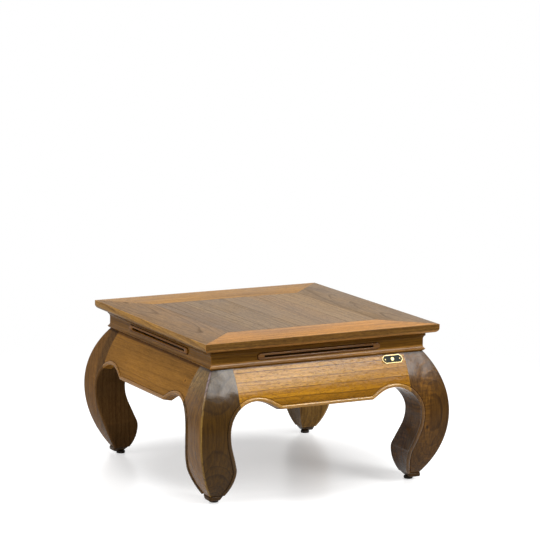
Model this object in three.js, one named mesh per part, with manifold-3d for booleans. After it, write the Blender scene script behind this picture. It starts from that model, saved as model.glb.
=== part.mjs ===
// A square low table with a mitred frame-and-panel top, a moulded waist,
// swelling aprons with a beaded, cusped lower edge, and four sawn and shaped legs
// that swell outwards and curl in again to small feet.
// Lengths are millimetres, +Z is up, and the origin is on the floor under the centre.
// X runs along the front and Y from front to back. The front carries a small plate.

import * as THREE from 'three';
import { mergeVertices, toCreasedNormals } from 'three/addons/utils/BufferGeometryUtils.js';
import Module from 'manifold-3d';

const wasm = await Module();
wasm.setup();

// Driving dimensions: the whole table
const topSide = 600;
const tableHeight = 370;
const topThickness = 20.5;
const topOverhang = 27.4;
const waistHeight = 44;
const fitGap = 0.2;
const overrun = 6;

// Driving dimensions: the mitred frame of the top
const frameWidth = 107;
const edgeRound = 11;
const topArris = 1.2;
const grooveDepth = 8;
const mitreTenonNear = 38;
const mitreTenonWidth = 18;
const mitreTenonReach = 15;
const mitreTenonThickness = 7;
const mitreTenonRise = 4.5;

// Driving dimensions: the boards of the panel and the battens across them
const boardThickness = 10;
const tongueLip = 3.4;
const tongueShoulder = 1.6;
const tongueEndGap = 1;
const boardTongueLength = 4;
const swellGap = 0.5;
const boardWidthShares = [0.061, 0.115, 0.107, 0.179, 0.179, 0.166, 0.12, 0.073];
const battenSpacing = 190;
const battenWidth = 30;
const battenDepth = 12;
const dovetailRoot = 18;
const dovetailFlare = 1.5;
const dovetailDepth = 3;
const battenTenonWidth = 22;
const battenTenonThickness = 6;
const battenTenonLength = 13;
const battenTenonDrop = 1.4;

// Driving dimensions: the waist and its oval mouldings
const waistThickness = 18;
const lipProjection = 4.3;
const lipTipHeight = 4.4;
const lipRound = 3;
const lipHeight = 12;
const coveProjection = 4.1;
const coveHeight = 8;
const coveSoftness = 2.7;
const coveFillet = 8.4;
const waistTongueThickness = 6;
const waistTongueHeight = 3;
const waistTongueInset = 6.3;
const ovalLength = 315;
const ovalHeight = 16;
const ovalEndWidth = 17.5;
const ovalRimWidth = 5.7;
const ovalProjection = 3;
const ovalSeat = 1.4;
const ovalRound = 1.5;
const ovalPocketDepth = 6;
const ovalRise = 20.8;

// Driving dimensions: the swelling of aprons and legs, seen from the side
const bellyProjection = 47.8;
const bellyHeight = 165;
const ankleSetback = 47.4;
const footTop = 17;

// Driving dimensions: the outline of the opening, seen from the front
const apronHeight = 93.3;
const archRise = 22.3;
const archPeakInset = 41;
const archShoulderRadius = 80;
const cuspSlope = THREE.MathUtils.degToRad(30);
const throatDepth = 26.3;
const throatRadiusShare = 0.776;
const throatLeanShare = 0.692;
const kneeReach = 23.5;
const kneeHeight = 72.4;
const footRadius = 110;

// Driving dimensions: the bead along the opening
const beadRadius = 4.6;
const beadSink = 1.8;
const beadOverhang = 0.5;

// Driving dimensions: the aprons and their tenons
const apronThickness = 22;
const apronTenonLength = 24;
const apronTenonThickness = 8;
const apronTenonShoulder = 12;
const apronTenonRise = 22;

// Driving dimensions: the legs
const arrisRadius = 4;
const postSide = 35.2;
const postGap = 0.3;
const legTenonSide = 12;
const legTenonHeight = 10;
const legTenonInset = 2.4;

// Driving dimensions: the feet
const padProud = 1.2;
const padSetback = 4;
const padCorner = 8;
const padRound = 3;
const glideHeight = 6.3;
const glideRadius = 10.5;
const glideRound = 1.4;
const glideInset = 21.5;
const nailRadius = 1.4;
const nailLength = 22;

// Driving dimensions: the blocks that fix the top, and their screws
const blockLength = 90;
const blockDepth = 24;
const blockHeight = 24;
const blockChamfer = 3;
const topScrewSpacing = 56;
const topScrewLength = 32;
const sideScrewLength = 34;
const screwHeadRadius = 4;
const screwHeadHeight = 3;
const screwShankRadius = 2;
const screwPointLength = 4;

// Driving dimensions: the bare plate on the front apron
const plateLength = 52;
const plateHeight = 20;
const plateThickness = 1.2;
const plateChamfer = 6.5;
const plateRimWidth = 1.6;
const plateRimRaise = 0.6;
const plateBossRadius = 4.5;
const plateInset = 33;
const plateDrop = 11.8;
const pinInset = 7;
const pinHeadRadius = 1.7;
const pinHeadHeight = 0.9;
const pinShankRadius = 0.8;
const pinLength = 9;

// How finely curves are cut
const profileLevels = 16;
const arcSteps = 6;
const smallArcSteps = 3;
const edgeSteps = 2;
const beadSides = 8;
const turnedSides = 12;
const screwSides = 8;
const beadStep = 17;
const seamOverlap = THREE.MathUtils.degToRad(7);
const creaseAngle = THREE.MathUtils.degToRad(32);
const quarter = Math.PI / 2;

// Levels and half-widths worked out from the driving dimensions
const halfTop = topSide / 2;
const topUnder = tableHeight - topThickness;
const waistFoot = topUnder - waistHeight;
const apronTop = waistFoot - fitGap;
const waistHalf = halfTop - topOverhang;
const waistInner = waistHalf - waistThickness;
const frameInner = halfTop - frameWidth;
const bellyHalf = waistHalf + bellyProjection;
const ankleHalf = bellyHalf - ankleSetback;
const tongueTop = tableHeight - tongueLip;
const tongueLength = grooveDepth - tongueEndGap;
const boardUnder = tableHeight - boardThickness;
const tongueFoot = boardUnder + tongueShoulder;
const battenTop = boardUnder - fitGap;
const battenFoot = battenTop - battenDepth;
const waistTongueOuter = waistHalf - waistTongueInset;
const waistTongueInner = waistTongueOuter - waistTongueThickness;
const ovalCentre = waistFoot + ovalRise;
const ovalSlotLength = ovalLength - 2 * ovalEndWidth;
const ovalSlotHeight = ovalHeight - 2 * ovalRimWidth;
const postOuter = waistInner - postGap;
const legFace = postOuter - postSide;
const seamHalf = legFace - fitGap / 2;
const apronEnd = seamHalf - fitGap / 2;
const apronEdge = apronTop - apronHeight;
const plateAlong = seamHalf - plateInset;
const plateRise = apronTop - plateDrop;
const pinSpacing = plateLength - 2 * pinInset;
const plateGap = 2 * fitGap;

const finish = (color, roughness, metalness = 0) => (
  new THREE.MeshStandardMaterial({ color, roughness, metalness })
);
const panelWood = finish(0x8f7a60, 0.45);
const sideRailWood = finish(0x8d7658, 0.45);
const frontRailWood = finish(0xb98a58, 0.42);
const waistWood = finish(0x6e4a22, 0.4);
const apronWood = finish(0x9a6a2c, 0.38);
const legWood = finish(0x5b4026, 0.38);
const innerWood = finish(0x8a6d48, 0.75);
const steel = finish(0xa9a9a6, 0.35, 1);
const brass = finish(0xb08d3e, 0.35, 1);
const blackPlastic = finish(0x1d1a17, 0.6);

// A closed geometry becomes a solid that can be joined and cut
function solidOf(geometry) {
  const bare = geometry.clone();
  bare.deleteAttribute('normal');
  bare.deleteAttribute('uv');
  const merged = mergeVertices(bare);
  const corners = [];
  const index = merged.index.array;
  for (let i = 0; i < index.length; i += 3) {
    const [a, b, c] = index.slice(i, i + 3);
    if (a !== b && b !== c && c !== a) corners.push(a, b, c);
  }
  return new wasm.Manifold(new wasm.Mesh({
    numProp: 3,
    vertProperties: new Float32Array(merged.attributes.position.array),
    triVerts: new Uint32Array(corners),
  }));
}

function geometryOf(solid) {
  const mesh = solid.getMesh();
  const geometry = new THREE.BufferGeometry();
  geometry.setAttribute('position', new THREE.BufferAttribute(mesh.vertProperties, 3));
  geometry.setIndex(new THREE.BufferAttribute(mesh.triVerts, 1));
  return toCreasedNormals(geometry, creaseAngle);
}

// A skin over rings of equal length, closed at both ends by caps of the flat section
function loft(rings, flat) {
  const size = flat.length;
  const last = (rings.length - 1) * size;
  const positions = rings.flat().flatMap((point) => point.toArray());
  const index = [];
  for (let ring = 0; ring < last; ring += size) {
    for (let i = 0; i < size; i += 1) {
      const a = ring + i;
      const b = ring + ((i + 1) % size);
      index.push(a, b, a + size);
      index.push(b, b + size, a + size);
    }
  }
  for (const [a, b, c] of THREE.ShapeUtils.triangulateShape(flat, [])) {
    index.push(a, c, b);
    index.push(last + a, last + b, last + c);
  }
  const geometry = new THREE.BufferGeometry();
  geometry.setAttribute('position', new THREE.Float32BufferAttribute(positions, 3));
  geometry.setIndex(index);
  return geometry;
}

const flatPoint = (x, y) => new THREE.Vector2(x, y);

// A bar along X at the front of the table. Its profile is in (out, z), where out is
// the distance from the centre, and endOf gives the half-length at each distance.
function frontBar(profile, endOf) {
  const ring = (side) => profile.map((p) => new THREE.Vector3(side * endOf(p.x), -p.x, p.y));
  return solidOf(loft([ring(1), ring(-1)], profile));
}

// A bar along X between two ends, from a profile in (y, z)
function barAlongX(profile, start, end) {
  const ring = (x) => profile.map((p) => new THREE.Vector3(x, p.x, p.y));
  return solidOf(loft([ring(start), ring(end)], profile));
}

// A slab along Y between two distances in front of the centre, from a profile in (x, z)
function slabAlongY(profile, near, far) {
  const ring = (out) => profile.map((p) => new THREE.Vector3(p.x, -out, p.y));
  return loft([ring(near), ring(far)], profile);
}

function box(x0, x1, y0, y1, z0, z1) {
  const geometry = new THREE.BoxGeometry(x1 - x0, y1 - y0, z1 - z0);
  geometry.translate((x0 + x1) / 2, (y0 + y1) / 2, (z0 + z1) / 2);
  return solidOf(geometry);
}

// A turned piece: its profile in (radius, z) starts and ends on the axis
function turned(profile, sides = turnedSides) {
  const geometry = new THREE.LatheGeometry(profile, sides);
  geometry.rotateX(quarter);
  return geometry;
}

function rod(radius, start, end) {
  return turned([
    flatPoint(0, start), flatPoint(radius, start), flatPoint(radius, end), flatPoint(0, end),
  ], screwSides);
}

// The mirror image over the upright plane through the front right corner
function overDiagonal(geometry) {
  const swapped = geometry.clone();
  const place = swapped.attributes.position;
  for (let i = 0; i < place.count; i += 1) {
    place.setXY(i, -place.getY(i), -place.getX(i));
  }
  const index = swapped.index.array;
  for (let i = 0; i < index.length; i += 3) {
    [index[i], index[i + 1]] = [index[i + 1], index[i]];
  }
  return swapped;
}

const rectangle = (x0, x1, y0, y1) => [
  flatPoint(x0, y0), flatPoint(x1, y0), flatPoint(x1, y1), flatPoint(x0, y1),
];

function arc(centreX, centreY, radius, from, to, steps = arcSteps) {
  return Array.from({ length: steps + 1 }, (_, i) => {
    const angle = from + ((to - from) * i) / steps;
    return flatPoint(centreX + radius * Math.cos(angle), centreY + radius * Math.sin(angle));
  });
}

// The swelling of legs and aprons: one arc above the belly and one below it
const arcRadius = (rise, setback) => (rise * rise + setback * setback) / (2 * setback);
const upperRadius = arcRadius(apronTop - bellyHeight, bellyProjection);
const lowerRadius = arcRadius(bellyHeight - footTop, ankleSetback);

function bulge(z) {
  const rise = z - bellyHeight;
  const radius = rise > 0 ? upperRadius : lowerRadius;
  return bellyHalf - radius + Math.sqrt(radius * radius - rise * rise);
}

function bulgeSlope(z) {
  const rise = z - bellyHeight;
  const radius = rise > 0 ? upperRadius : lowerRadius;
  return rise / Math.sqrt(radius * radius - rise * rise);
}

// The outline of the opening in (half-width, z). Wood lies on its left as it runs from
// the arch over the seam, in at the throat, out at the knee and down to the foot.
const archPeakHalf = seamHalf - archPeakInset;
const archTop = apronEdge + archRise;
const throatHalf = seamHalf + throatDepth;
const kneeHalf = throatHalf - kneeReach;
const archRadius = throatHalf - archPeakHalf;
const archCentre = archTop - archRadius;
const seamAngle = Math.acos(archPeakInset / archRadius);
const seamHeight = archCentre + archRadius * Math.sin(seamAngle);

// Throat and knee are two arcs with a straight between them that leans by throatLean.
// The largest lean leaves no straight, and half of it leaves no arcs.
const throatDrop = archCentre - kneeHeight;
const throatLean = 2 * Math.atan(kneeReach / throatDrop) * throatLeanShare;
const bothRadii = (throatDrop * Math.sin(throatLean) - kneeReach * Math.cos(throatLean))
  / (1 - Math.cos(throatLean));
const throatRadius = bothRadii * throatRadiusShare;
const kneeRadius = bothRadii - throatRadius;

function legOutline(startAngle) {
  const footAngle = Math.asin((kneeHeight - footTop) / footRadius);
  return [
    ...arc(archPeakHalf, archCentre, archRadius, startAngle, 0),
    ...arc(throatHalf - throatRadius, archCentre, throatRadius, 0, -throatLean, smallArcSteps)
      .slice(1),
    ...arc(kneeHalf + kneeRadius, kneeHeight, kneeRadius, Math.PI - throatLean, Math.PI,
      smallArcSteps),
    ...arc(kneeHalf + footRadius, kneeHeight, footRadius, Math.PI, Math.PI + footAngle,
      smallArcSteps).slice(1),
  ];
}

// The lower edge of an apron from its middle to the seam, and a little past it
function apronHalfOutline() {
  const shoulderDrop = archShoulderRadius * (1 - Math.cos(cuspSlope));
  const shoulderStart = archPeakHalf - archShoulderRadius * Math.sin(cuspSlope);
  const cuspHalf = shoulderStart - (archTop - shoulderDrop - apronEdge) / Math.tan(cuspSlope);
  return [
    flatPoint(cuspHalf, apronEdge),
    ...arc(archPeakHalf, archTop - archShoulderRadius, archShoulderRadius,
      quarter + cuspSlope, quarter, smallArcSteps),
    ...arc(archPeakHalf, archCentre, archRadius, quarter, seamAngle - seamOverlap, smallArcSteps)
      .slice(1),
  ];
}

function apronOutline() {
  const right = apronHalfOutline();
  const left = right.map((p) => flatPoint(-p.x, p.y)).reverse();
  return [...left, ...right];
}

// More points along a line, so that what follows it can bend with the swelling
function subdivided(points, longest) {
  const dense = [points[0]];
  for (let i = 1; i < points.length; i += 1) {
    const pieces = Math.ceil(points[i - 1].distanceTo(points[i]) / longest);
    for (let k = 1; k <= pieces; k += 1) {
      dense.push(points[i - 1].clone().lerp(points[i], k / pieces));
    }
  }
  return dense;
}

const neighbours = (list, i) => [list[Math.max(i - 1, 0)], list[Math.min(i + 1, list.length - 1)]];

function offsetLeft(points, distance) {
  return points.map((point, i) => {
    const [before, after] = neighbours(points, i);
    const along = after.clone().sub(before).normalize();
    return flatPoint(point.x - along.y * distance, point.y + along.x * distance);
  });
}

// A section in (across, outward) drawn along a line on the swelling front face
function sweepOnFace(line, section, sink) {
  const path = line.map((p) => new THREE.Vector3(p.x, -(bulge(p.y) - sink), p.y));
  const rings = path.map((point, i) => {
    const [before, after] = neighbours(path, i);
    const along = after.clone().sub(before).normalize();
    const outward = new THREE.Vector3(0, -1, bulgeSlope(point.z));
    outward.addScaledVector(along, -outward.dot(along)).normalize();
    const across = outward.clone().cross(along);
    return section.map((s) => (
      point.clone().addScaledVector(across, s.x).addScaledVector(outward, s.y)
    ));
  });
  return loft(rings, section);
}

// The bead that runs along the opening, sunk a little into the face
function beadOn(outline) {
  const section = arc(0, 0, beadRadius, 0, 2 * Math.PI, beadSides).slice(1);
  const line = subdivided(offsetLeft(outline, beadRadius - beadOverhang), beadStep);
  return sweepOnFace(line, section, beadSink);
}

function joined(solids) {
  return solids.reduce((whole, solid) => whole.add(solid));
}

function cut(solid, cutters) {
  return cutters.reduce((rest, cutter) => rest.subtract(cutter), solid);
}

// Top frame: one profile, mitred at both ends. Tenons on the front and back rails
// cross the mitres into mortises in the side rails.
const mitreEnd = (out) => out - fitGap / Math.SQRT2;

function railProfile() {
  const grooveTop = tongueTop + fitGap;
  const grooveFoot = tongueFoot - fitGap;
  const waistGrooveTop = topUnder + waistTongueHeight + fitGap;
  return [
    flatPoint(frameInner, topUnder),
    flatPoint(waistTongueInner - fitGap, topUnder),
    flatPoint(waistTongueInner - fitGap, waistGrooveTop),
    flatPoint(waistTongueOuter + fitGap, waistGrooveTop),
    flatPoint(waistTongueOuter + fitGap, topUnder),
    ...arc(halfTop - edgeRound, topUnder + edgeRound, edgeRound, -quarter, 0, smallArcSteps),
    ...arc(halfTop - topArris, tableHeight - topArris, topArris, 0, quarter, edgeSteps),
    flatPoint(frameInner, tableHeight),
    flatPoint(frameInner, grooveTop),
    flatPoint(frameInner + grooveDepth, grooveTop),
    flatPoint(frameInner + grooveDepth, grooveFoot),
    flatPoint(frameInner, grooveFoot),
  ];
}

function mitreTenon(side, gap) {
  const far = halfTop - mitreTenonReach + gap;
  const inner = halfTop - mitreTenonNear - gap;
  const foot = topUnder + mitreTenonRise;
  const start = side < 0 ? -far : inner - overrun;
  const end = side < 0 ? -inner + overrun : far;
  return box(start, end, -(inner + mitreTenonWidth + 2 * gap), -inner,
    foot - gap, foot + mitreTenonThickness + gap);
}

function mitreMortise(side) {
  const near = halfTop - mitreTenonNear - fitGap;
  const far = near + mitreTenonWidth + 2 * fitGap;
  const foot = topUnder + mitreTenonRise;
  return box(side < 0 ? -far : near, side < 0 ? -near : far,
    -(halfTop - mitreTenonReach + fitGap), -(near - overrun),
    foot - fitGap, foot + mitreTenonThickness + fitGap);
}

// The twin tenons on the head of a leg stand on either side of the mitre
const legTenonNear = legFace + legTenonInset;
const legTenonFar = postOuter - legTenonInset;

function legTenon(gap, height) {
  return [
    legTenonNear - gap, legTenonNear + legTenonSide + gap,
    -(legTenonFar + gap), -(legTenonFar - legTenonSide - gap),
    topUnder - fitGap - overrun, topUnder + height,
  ];
}

function legMortise(side) {
  const [x0, x1, y0, y1, z0, z1] = legTenon(fitGap, legTenonHeight + fitGap);
  return box(side < 0 ? -x1 : x0, side < 0 ? -x0 : x1, y0, y1, z0, z1);
}

function topScrewHoles(start, end, radius) {
  return [-1, 1].map((side) => {
    const hole = rod(radius, start, end);
    hole.translate((side * topScrewSpacing) / 2, -(waistInner - fitGap - blockDepth / 2), 0);
    return solidOf(hole);
  });
}

function battenMortise(side) {
  const half = battenTenonWidth / 2 + fitGap;
  const top = battenTop - battenTenonDrop + fitGap;
  const middle = (side * battenSpacing) / 2;
  const foot = top - battenTenonThickness - 2 * fitGap;
  return box(middle - half, middle + half,
    -(frameInner + battenTenonLength + fitGap), -(frameInner - overrun), foot, top);
}

function topRail(carriesTenons) {
  const sides = [-1, 1];
  const bar = frontBar(railProfile(), mitreEnd);
  const screwTip = topUnder - fitGap - blockHeight + topScrewLength;
  const common = [
    ...sides.map(legMortise),
    ...topScrewHoles(topUnder - overrun, screwTip + fitGap, screwShankRadius + fitGap),
  ];
  if (carriesTenons) {
    return cut(joined([bar, ...sides.map((side) => mitreTenon(side, 0))]), common);
  }
  return cut(bar, [...common, ...sides.map(mitreMortise), ...sides.map(battenMortise)]);
}

// Panel: tongued and grooved boards that float in the groove of the frame
function board(left, right, isFirst, isLast) {
  const x0 = left + fitGap / 2;
  const x1 = right - fitGap / 2;
  const tongue = isLast ? tongueLength : boardTongueLength;
  const grooveReach = boardTongueLength + swellGap + fitGap;
  const leftEdge = isFirst ? [
    flatPoint(x0, tongueTop), flatPoint(x0 - tongueLength, tongueTop),
    flatPoint(x0 - tongueLength, tongueFoot), flatPoint(x0, tongueFoot),
  ] : [
    flatPoint(x0, tongueTop + fitGap), flatPoint(x0 + grooveReach, tongueTop + fitGap),
    flatPoint(x0 + grooveReach, tongueFoot - fitGap), flatPoint(x0, tongueFoot - fitGap),
  ];
  const profile = [
    flatPoint(x0, boardUnder), flatPoint(x1, boardUnder),
    flatPoint(x1, tongueFoot), flatPoint(x1 + tongue, tongueFoot),
    flatPoint(x1 + tongue, tongueTop), flatPoint(x1, tongueTop),
    flatPoint(x1, tableHeight), flatPoint(x0, tableHeight),
    ...leftEdge,
  ];
  const shoulder = frameInner - fitGap;
  const end = shoulder + tongueLength;
  const low = x0 - tongueLength - overrun;
  const high = x1 + tongueLength + overrun;
  const rebates = [-1, 1].flatMap((side) => {
    const y0 = side < 0 ? -end - overrun : shoulder;
    const y1 = side < 0 ? -shoulder : end + overrun;
    return [
      box(low, high, y0, y1, tongueTop, tableHeight + overrun),
      box(low, high, y0, y1, boardUnder - overrun, tongueFoot),
    ];
  });
  const housings = [-1, 1].map((side) => (
    barAlongX(dovetail(side, fitGap, boardUnder - overrun, fitGap), low, high)
  ));
  return cut(solidOf(slabAlongY(profile, -end, end)), [...rebates, ...housings]);
}

// The dovetail on top of a batten, or with a gap the housing for it, in (y, z)
function dovetail(side, gap, foot, headroom) {
  const middle = (side * battenSpacing) / 2;
  const root = dovetailRoot / 2 + gap;
  const wide = root + dovetailFlare;
  const shoulder = boardUnder;
  const top = boardUnder + dovetailDepth - fitGap + headroom;
  return [
    flatPoint(middle - root, foot), flatPoint(middle + root, foot),
    flatPoint(middle + root, shoulder), flatPoint(middle + wide, top),
    flatPoint(middle - wide, top), flatPoint(middle - root, shoulder),
  ];
}

function batten(side) {
  const middle = (side * battenSpacing) / 2;
  const half = battenWidth / 2;
  const end = frameInner - fitGap;
  const tenonTop = battenTop - battenTenonDrop;
  const reach = frameInner + battenTenonLength;
  return joined([
    barAlongX(rectangle(middle - half, middle + half, battenFoot, battenTop), -end, end),
    barAlongX(dovetail(side, 0, battenTop - battenDepth / 2, 0), -end, end),
    barAlongX(rectangle(middle - battenTenonWidth / 2, middle + battenTenonWidth / 2,
      tenonTop - battenTenonThickness, tenonTop), -reach, reach),
  ]);
}

// Waist: lip, flat, cove and fillet on the outside, a tongue into the frame on top
function waistProfile() {
  const tip = waistHalf + lipProjection;
  const coveOuter = waistHalf + coveProjection;
  const filletFoot = topUnder - coveFillet;
  const waistTop = topUnder - fitGap;
  const outer = new THREE.Shape();
  outer.moveTo(waistInner, waistFoot);
  outer.lineTo(waistHalf, waistFoot);
  outer.quadraticCurveTo(tip, waistFoot, tip, waistFoot + lipTipHeight);
  outer.bezierCurveTo(tip, waistFoot + lipTipHeight + lipRound,
    waistHalf, waistFoot + lipTipHeight + lipRound, waistHalf, waistFoot + lipHeight);
  outer.lineTo(waistHalf, filletFoot - coveHeight);
  outer.quadraticCurveTo(waistHalf, filletFoot - coveSoftness, coveOuter, filletFoot);
  outer.lineTo(coveOuter, waistTop);
  return [
    ...outer.getPoints(smallArcSteps),
    flatPoint(waistTongueOuter, waistTop),
    flatPoint(waistTongueOuter, topUnder + waistTongueHeight),
    flatPoint(waistTongueInner, topUnder + waistTongueHeight),
    flatPoint(waistTongueInner, waistTop),
    flatPoint(waistInner, waistTop),
  ];
}

function stadium(length, height, direction = 1) {
  const radius = height / 2;
  const straight = length / 2 - radius;
  const right = arc(straight, 0, radius, -quarter, quarter, arcSteps);
  const left = arc(-straight, 0, radius, quarter, 3 * quarter, arcSteps);
  const outline = [...right, ...left];
  return direction > 0 ? outline : outline.reverse();
}

// A shape in (x, z) pushed out of the front of the waist, from one distance to another
function frontPlaque(points, from, to, rise) {
  const raised = points.map((p) => flatPoint(p.x, p.y + rise));
  return solidOf(slabAlongY(raised, from, to));
}

function waistStrip() {
  const bar = frontBar(waistProfile(), mitreEnd);
  const seat = stadium(ovalLength + 2 * fitGap, ovalHeight + 2 * fitGap);
  const pocket = stadium(ovalSlotLength, ovalSlotHeight);
  const screw = rod(screwShankRadius + fitGap, waistInner - overrun,
    waistInner - fitGap - blockDepth + sideScrewLength + fitGap);
  screw.rotateX(quarter);
  screw.translate(0, 0, topUnder - fitGap - blockHeight / 2);
  return cut(bar, [
    frontPlaque(seat, waistHalf - ovalSeat - fitGap, waistHalf + overrun, ovalCentre),
    frontPlaque(pocket, waistHalf - ovalPocketDepth, waistHalf + overrun, ovalCentre),
    solidOf(screw),
  ]);
}

function ovalMoulding() {
  const straightDepth = ovalSeat + ovalProjection - ovalRound;
  const shape = new THREE.Shape(stadium(ovalLength - 2 * ovalRound, ovalHeight - 2 * ovalRound));
  const slot = stadium(ovalSlotLength + 2 * ovalRound, ovalSlotHeight + 2 * ovalRound, -1);
  shape.holes.push(new THREE.Path(slot));
  const geometry = new THREE.ExtrudeGeometry(shape, {
    depth: straightDepth,
    bevelEnabled: true,
    bevelSize: ovalRound,
    bevelThickness: ovalRound,
    bevelSegments: edgeSteps,
  });
  geometry.rotateX(quarter);
  const back = waistHalf - ovalSeat;
  geometry.translate(0, -back, ovalCentre);
  const behind = box(-ovalLength, ovalLength, -back, -back + 2 * ovalRound,
    ovalCentre - ovalHeight, ovalCentre + ovalHeight);
  return cut(solidOf(geometry), [behind]);
}

// Apron: a swelling plank, its lower edge sawn to the outline square to its face
function plankProfile() {
  const foot = apronEdge - apronThickness;
  const levels = Array.from({ length: profileLevels / 2 + 1 }, (_, i) => (
    foot + ((apronTop - foot) * 2 * i) / profileLevels
  ));
  const outer = levels.map((z) => flatPoint(bulge(z), z));
  const inner = levels.map((z) => flatPoint(bulge(z) - apronThickness, z)).reverse();
  return [...outer, ...inner];
}

function edgeSaw() {
  const edge = apronOutline();
  const last = edge.length - 1;
  const foot = apronEdge - 3 * apronThickness;
  const profile = [
    flatPoint(edge[0].x, foot), flatPoint(edge[last].x, foot), ...edge.slice().reverse(),
  ];
  const lean = bulgeSlope(apronEdge);
  const ring = (out) => profile.map((p) => (
    new THREE.Vector3(p.x, -out, p.y + (out - bulge(p.y)) * lean)
  ));
  const behind = bulge(archTop) - apronThickness - overrun;
  return solidOf(loft([ring(behind), ring(bellyHalf + overrun)], profile));
}

// The tenon leans with the plank and stays inside it all the way
function apronTenonProfile(gap) {
  const top = apronTop - apronTenonShoulder + gap;
  const foot = seamHeight + apronTenonRise - gap;
  const half = apronTenonThickness / 2 + gap;
  const middle = (z) => bulge(z) - apronThickness / 2;
  return [
    flatPoint(middle(foot) - half, foot), flatPoint(middle(foot) + half, foot),
    flatPoint(middle(top) + half, top), flatPoint(middle(top) - half, top),
  ];
}

// A frame that lies on the sloping front face of an apron at the plate's place
const plateTilt = Math.atan(bulgeSlope(plateRise));

function onPlateSeat(object) {
  const turn = new THREE.Matrix4().makeRotationX(quarter - plateTilt);
  const shift = new THREE.Matrix4().makeTranslation(plateAlong, -bulge(plateRise), plateRise);
  return object.applyMatrix4(shift.multiply(turn));
}

const pinSides = [-1, 1];

function pinRod(side, radius, start, end) {
  const shank = rod(radius, start, end);
  shank.translate((side * pinSpacing) / 2, 0, 0);
  return shank;
}

function apron(carriesPlate) {
  const outline = apronOutline();
  const height = apronTop + overrun;
  const depth = bellyHalf + 2 * overrun;
  const between = box(-apronEnd, apronEnd, -depth, 0, 0, height);
  const plank = frontBar(plankProfile(), () => apronEnd + overrun);
  const tenonEnd = apronEnd + apronTenonLength;
  const tenon = frontBar(apronTenonProfile(0), () => tenonEnd);
  const worked = cut(joined([plank, solidOf(beadOn(outline))]), [edgeSaw()]);
  const piece = joined([worked.intersect(between), tenon]);
  if (!carriesPlate) return piece;
  return cut(piece, pinSides.map((side) => solidOf(
    onPlateSeat(pinRod(side, pinShankRadius + fitGap, -pinLength, overrun)),
  )));
}

// Leg: sawn to the same outline from two faces, rounded along its outer arris
function legColumn() {
  const inner = kneeHalf - overrun;
  const ringAt = (z) => {
    const out = bulge(z);
    const centre = out - arrisRadius;
    return [
      flatPoint(inner, -out),
      ...arc(centre, -centre, arrisRadius, -quarter, 0, smallArcSteps),
      flatPoint(out, -inner),
      flatPoint(inner, -inner),
    ];
  };
  const levels = Array.from({ length: profileLevels + 1 }, (_, i) => (
    footTop + ((apronTop - footTop) * i) / profileLevels
  ));
  const rings = levels.map((z) => ringAt(z).map((p) => new THREE.Vector3(p.x, p.y, z)));
  return solidOf(loft(rings, ringAt(footTop)));
}

function legPattern() {
  const outline = legOutline(seamAngle);
  const far = bellyHalf + overrun;
  const face = outline.filter((p) => p.x > legFace || p.y < archCentre);
  const profile = [
    flatPoint(legFace, apronTop),
    flatPoint(legFace, seamHeight - fitGap / 2),
    ...face,
    flatPoint(far, footTop),
    flatPoint(far, apronTop),
  ];
  return slabAlongY(profile, 0, far);
}

const footInner = legOutline(seamAngle).at(-1).x;
const glideCentre = ankleHalf + padProud - glideInset;

function leg() {
  const outline = legOutline(seamAngle + seamOverlap);
  const bead = beadOn(outline);
  const pattern = legPattern();
  const mortise = apronTenonProfile(fitGap);
  const mortiseEnd = apronEnd + apronTenonLength + 2 * fitGap;
  const mortiseRing = (x) => mortise.map((p) => new THREE.Vector3(x, -p.x, p.y));
  const slot = loft([mortiseRing(mortiseEnd), mortiseRing(legFace - overrun)], mortise);
  const nailHole = rod(nailRadius + fitGap, footTop - overrun, glideHeight + nailLength + fitGap);
  nailHole.translate(glideCentre, -glideCentre, 0);
  const [x0, x1, y0, y1, z0, z1] = legTenon(0, legTenonHeight);
  const shaped = joined([legColumn(), solidOf(bead), solidOf(overDiagonal(bead))]);
  const sawn = shaped.intersect(solidOf(pattern)).intersect(solidOf(overDiagonal(pattern)));
  const post = box(legFace, postOuter, -postOuter, -legFace,
    apronTop - overrun, topUnder - fitGap);
  const tenons = [box(x0, x1, y0, y1, z0, z1), box(-y1, -y0, -x1, -x0, z0, z1)];
  return cut(joined([sawn, post, ...tenons]), [
    solidOf(slot), solidOf(overDiagonal(slot)), solidOf(nailHole),
  ]);
}

// Feet: a rounded pad under the leg and a nail-on glide under the pad
function footPad() {
  const outer = ankleHalf + padProud;
  const inner = footInner + padSetback;
  const low = inner + padRound;
  const high = outer - padRound;
  const corner = padCorner - padRound;
  const outline = [
    ...arc(high - corner, -(high - corner), corner, -quarter, 0, smallArcSteps),
    ...arc(high - corner, -(low + corner), corner, 0, quarter, smallArcSteps),
    ...arc(low + corner, -(low + corner), corner, quarter, 2 * quarter, smallArcSteps),
    ...arc(low + corner, -(high - corner), corner, -2 * quarter, -quarter, smallArcSteps),
  ];
  const geometry = new THREE.ExtrudeGeometry(new THREE.Shape(outline), {
    depth: footTop - glideHeight - 2 * fitGap - 2 * padRound,
    bevelEnabled: true,
    bevelSize: padRound,
    bevelThickness: padRound,
    bevelSegments: edgeSteps,
  });
  geometry.translate(0, 0, glideHeight + fitGap + padRound);
  const hole = rod(nailRadius + fitGap, 0, footTop + overrun);
  hole.translate(glideCentre, -glideCentre, 0);
  return cut(solidOf(geometry), [solidOf(hole)]);
}

function glide() {
  const profile = [
    flatPoint(0, 0),
    ...arc(glideRadius - glideRound, glideRound, glideRound, -quarter, 0, edgeSteps),
    ...arc(glideRadius - glideRound, glideHeight - glideRound, glideRound, 0, quarter,
      edgeSteps),
    flatPoint(nailRadius, glideHeight),
    flatPoint(nailRadius, glideHeight + nailLength - 2 * nailRadius),
    flatPoint(0, glideHeight + nailLength),
  ];
  const geometry = turned(profile);
  geometry.translate(glideCentre, -glideCentre, 0);
  return solidOf(geometry);
}

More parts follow.
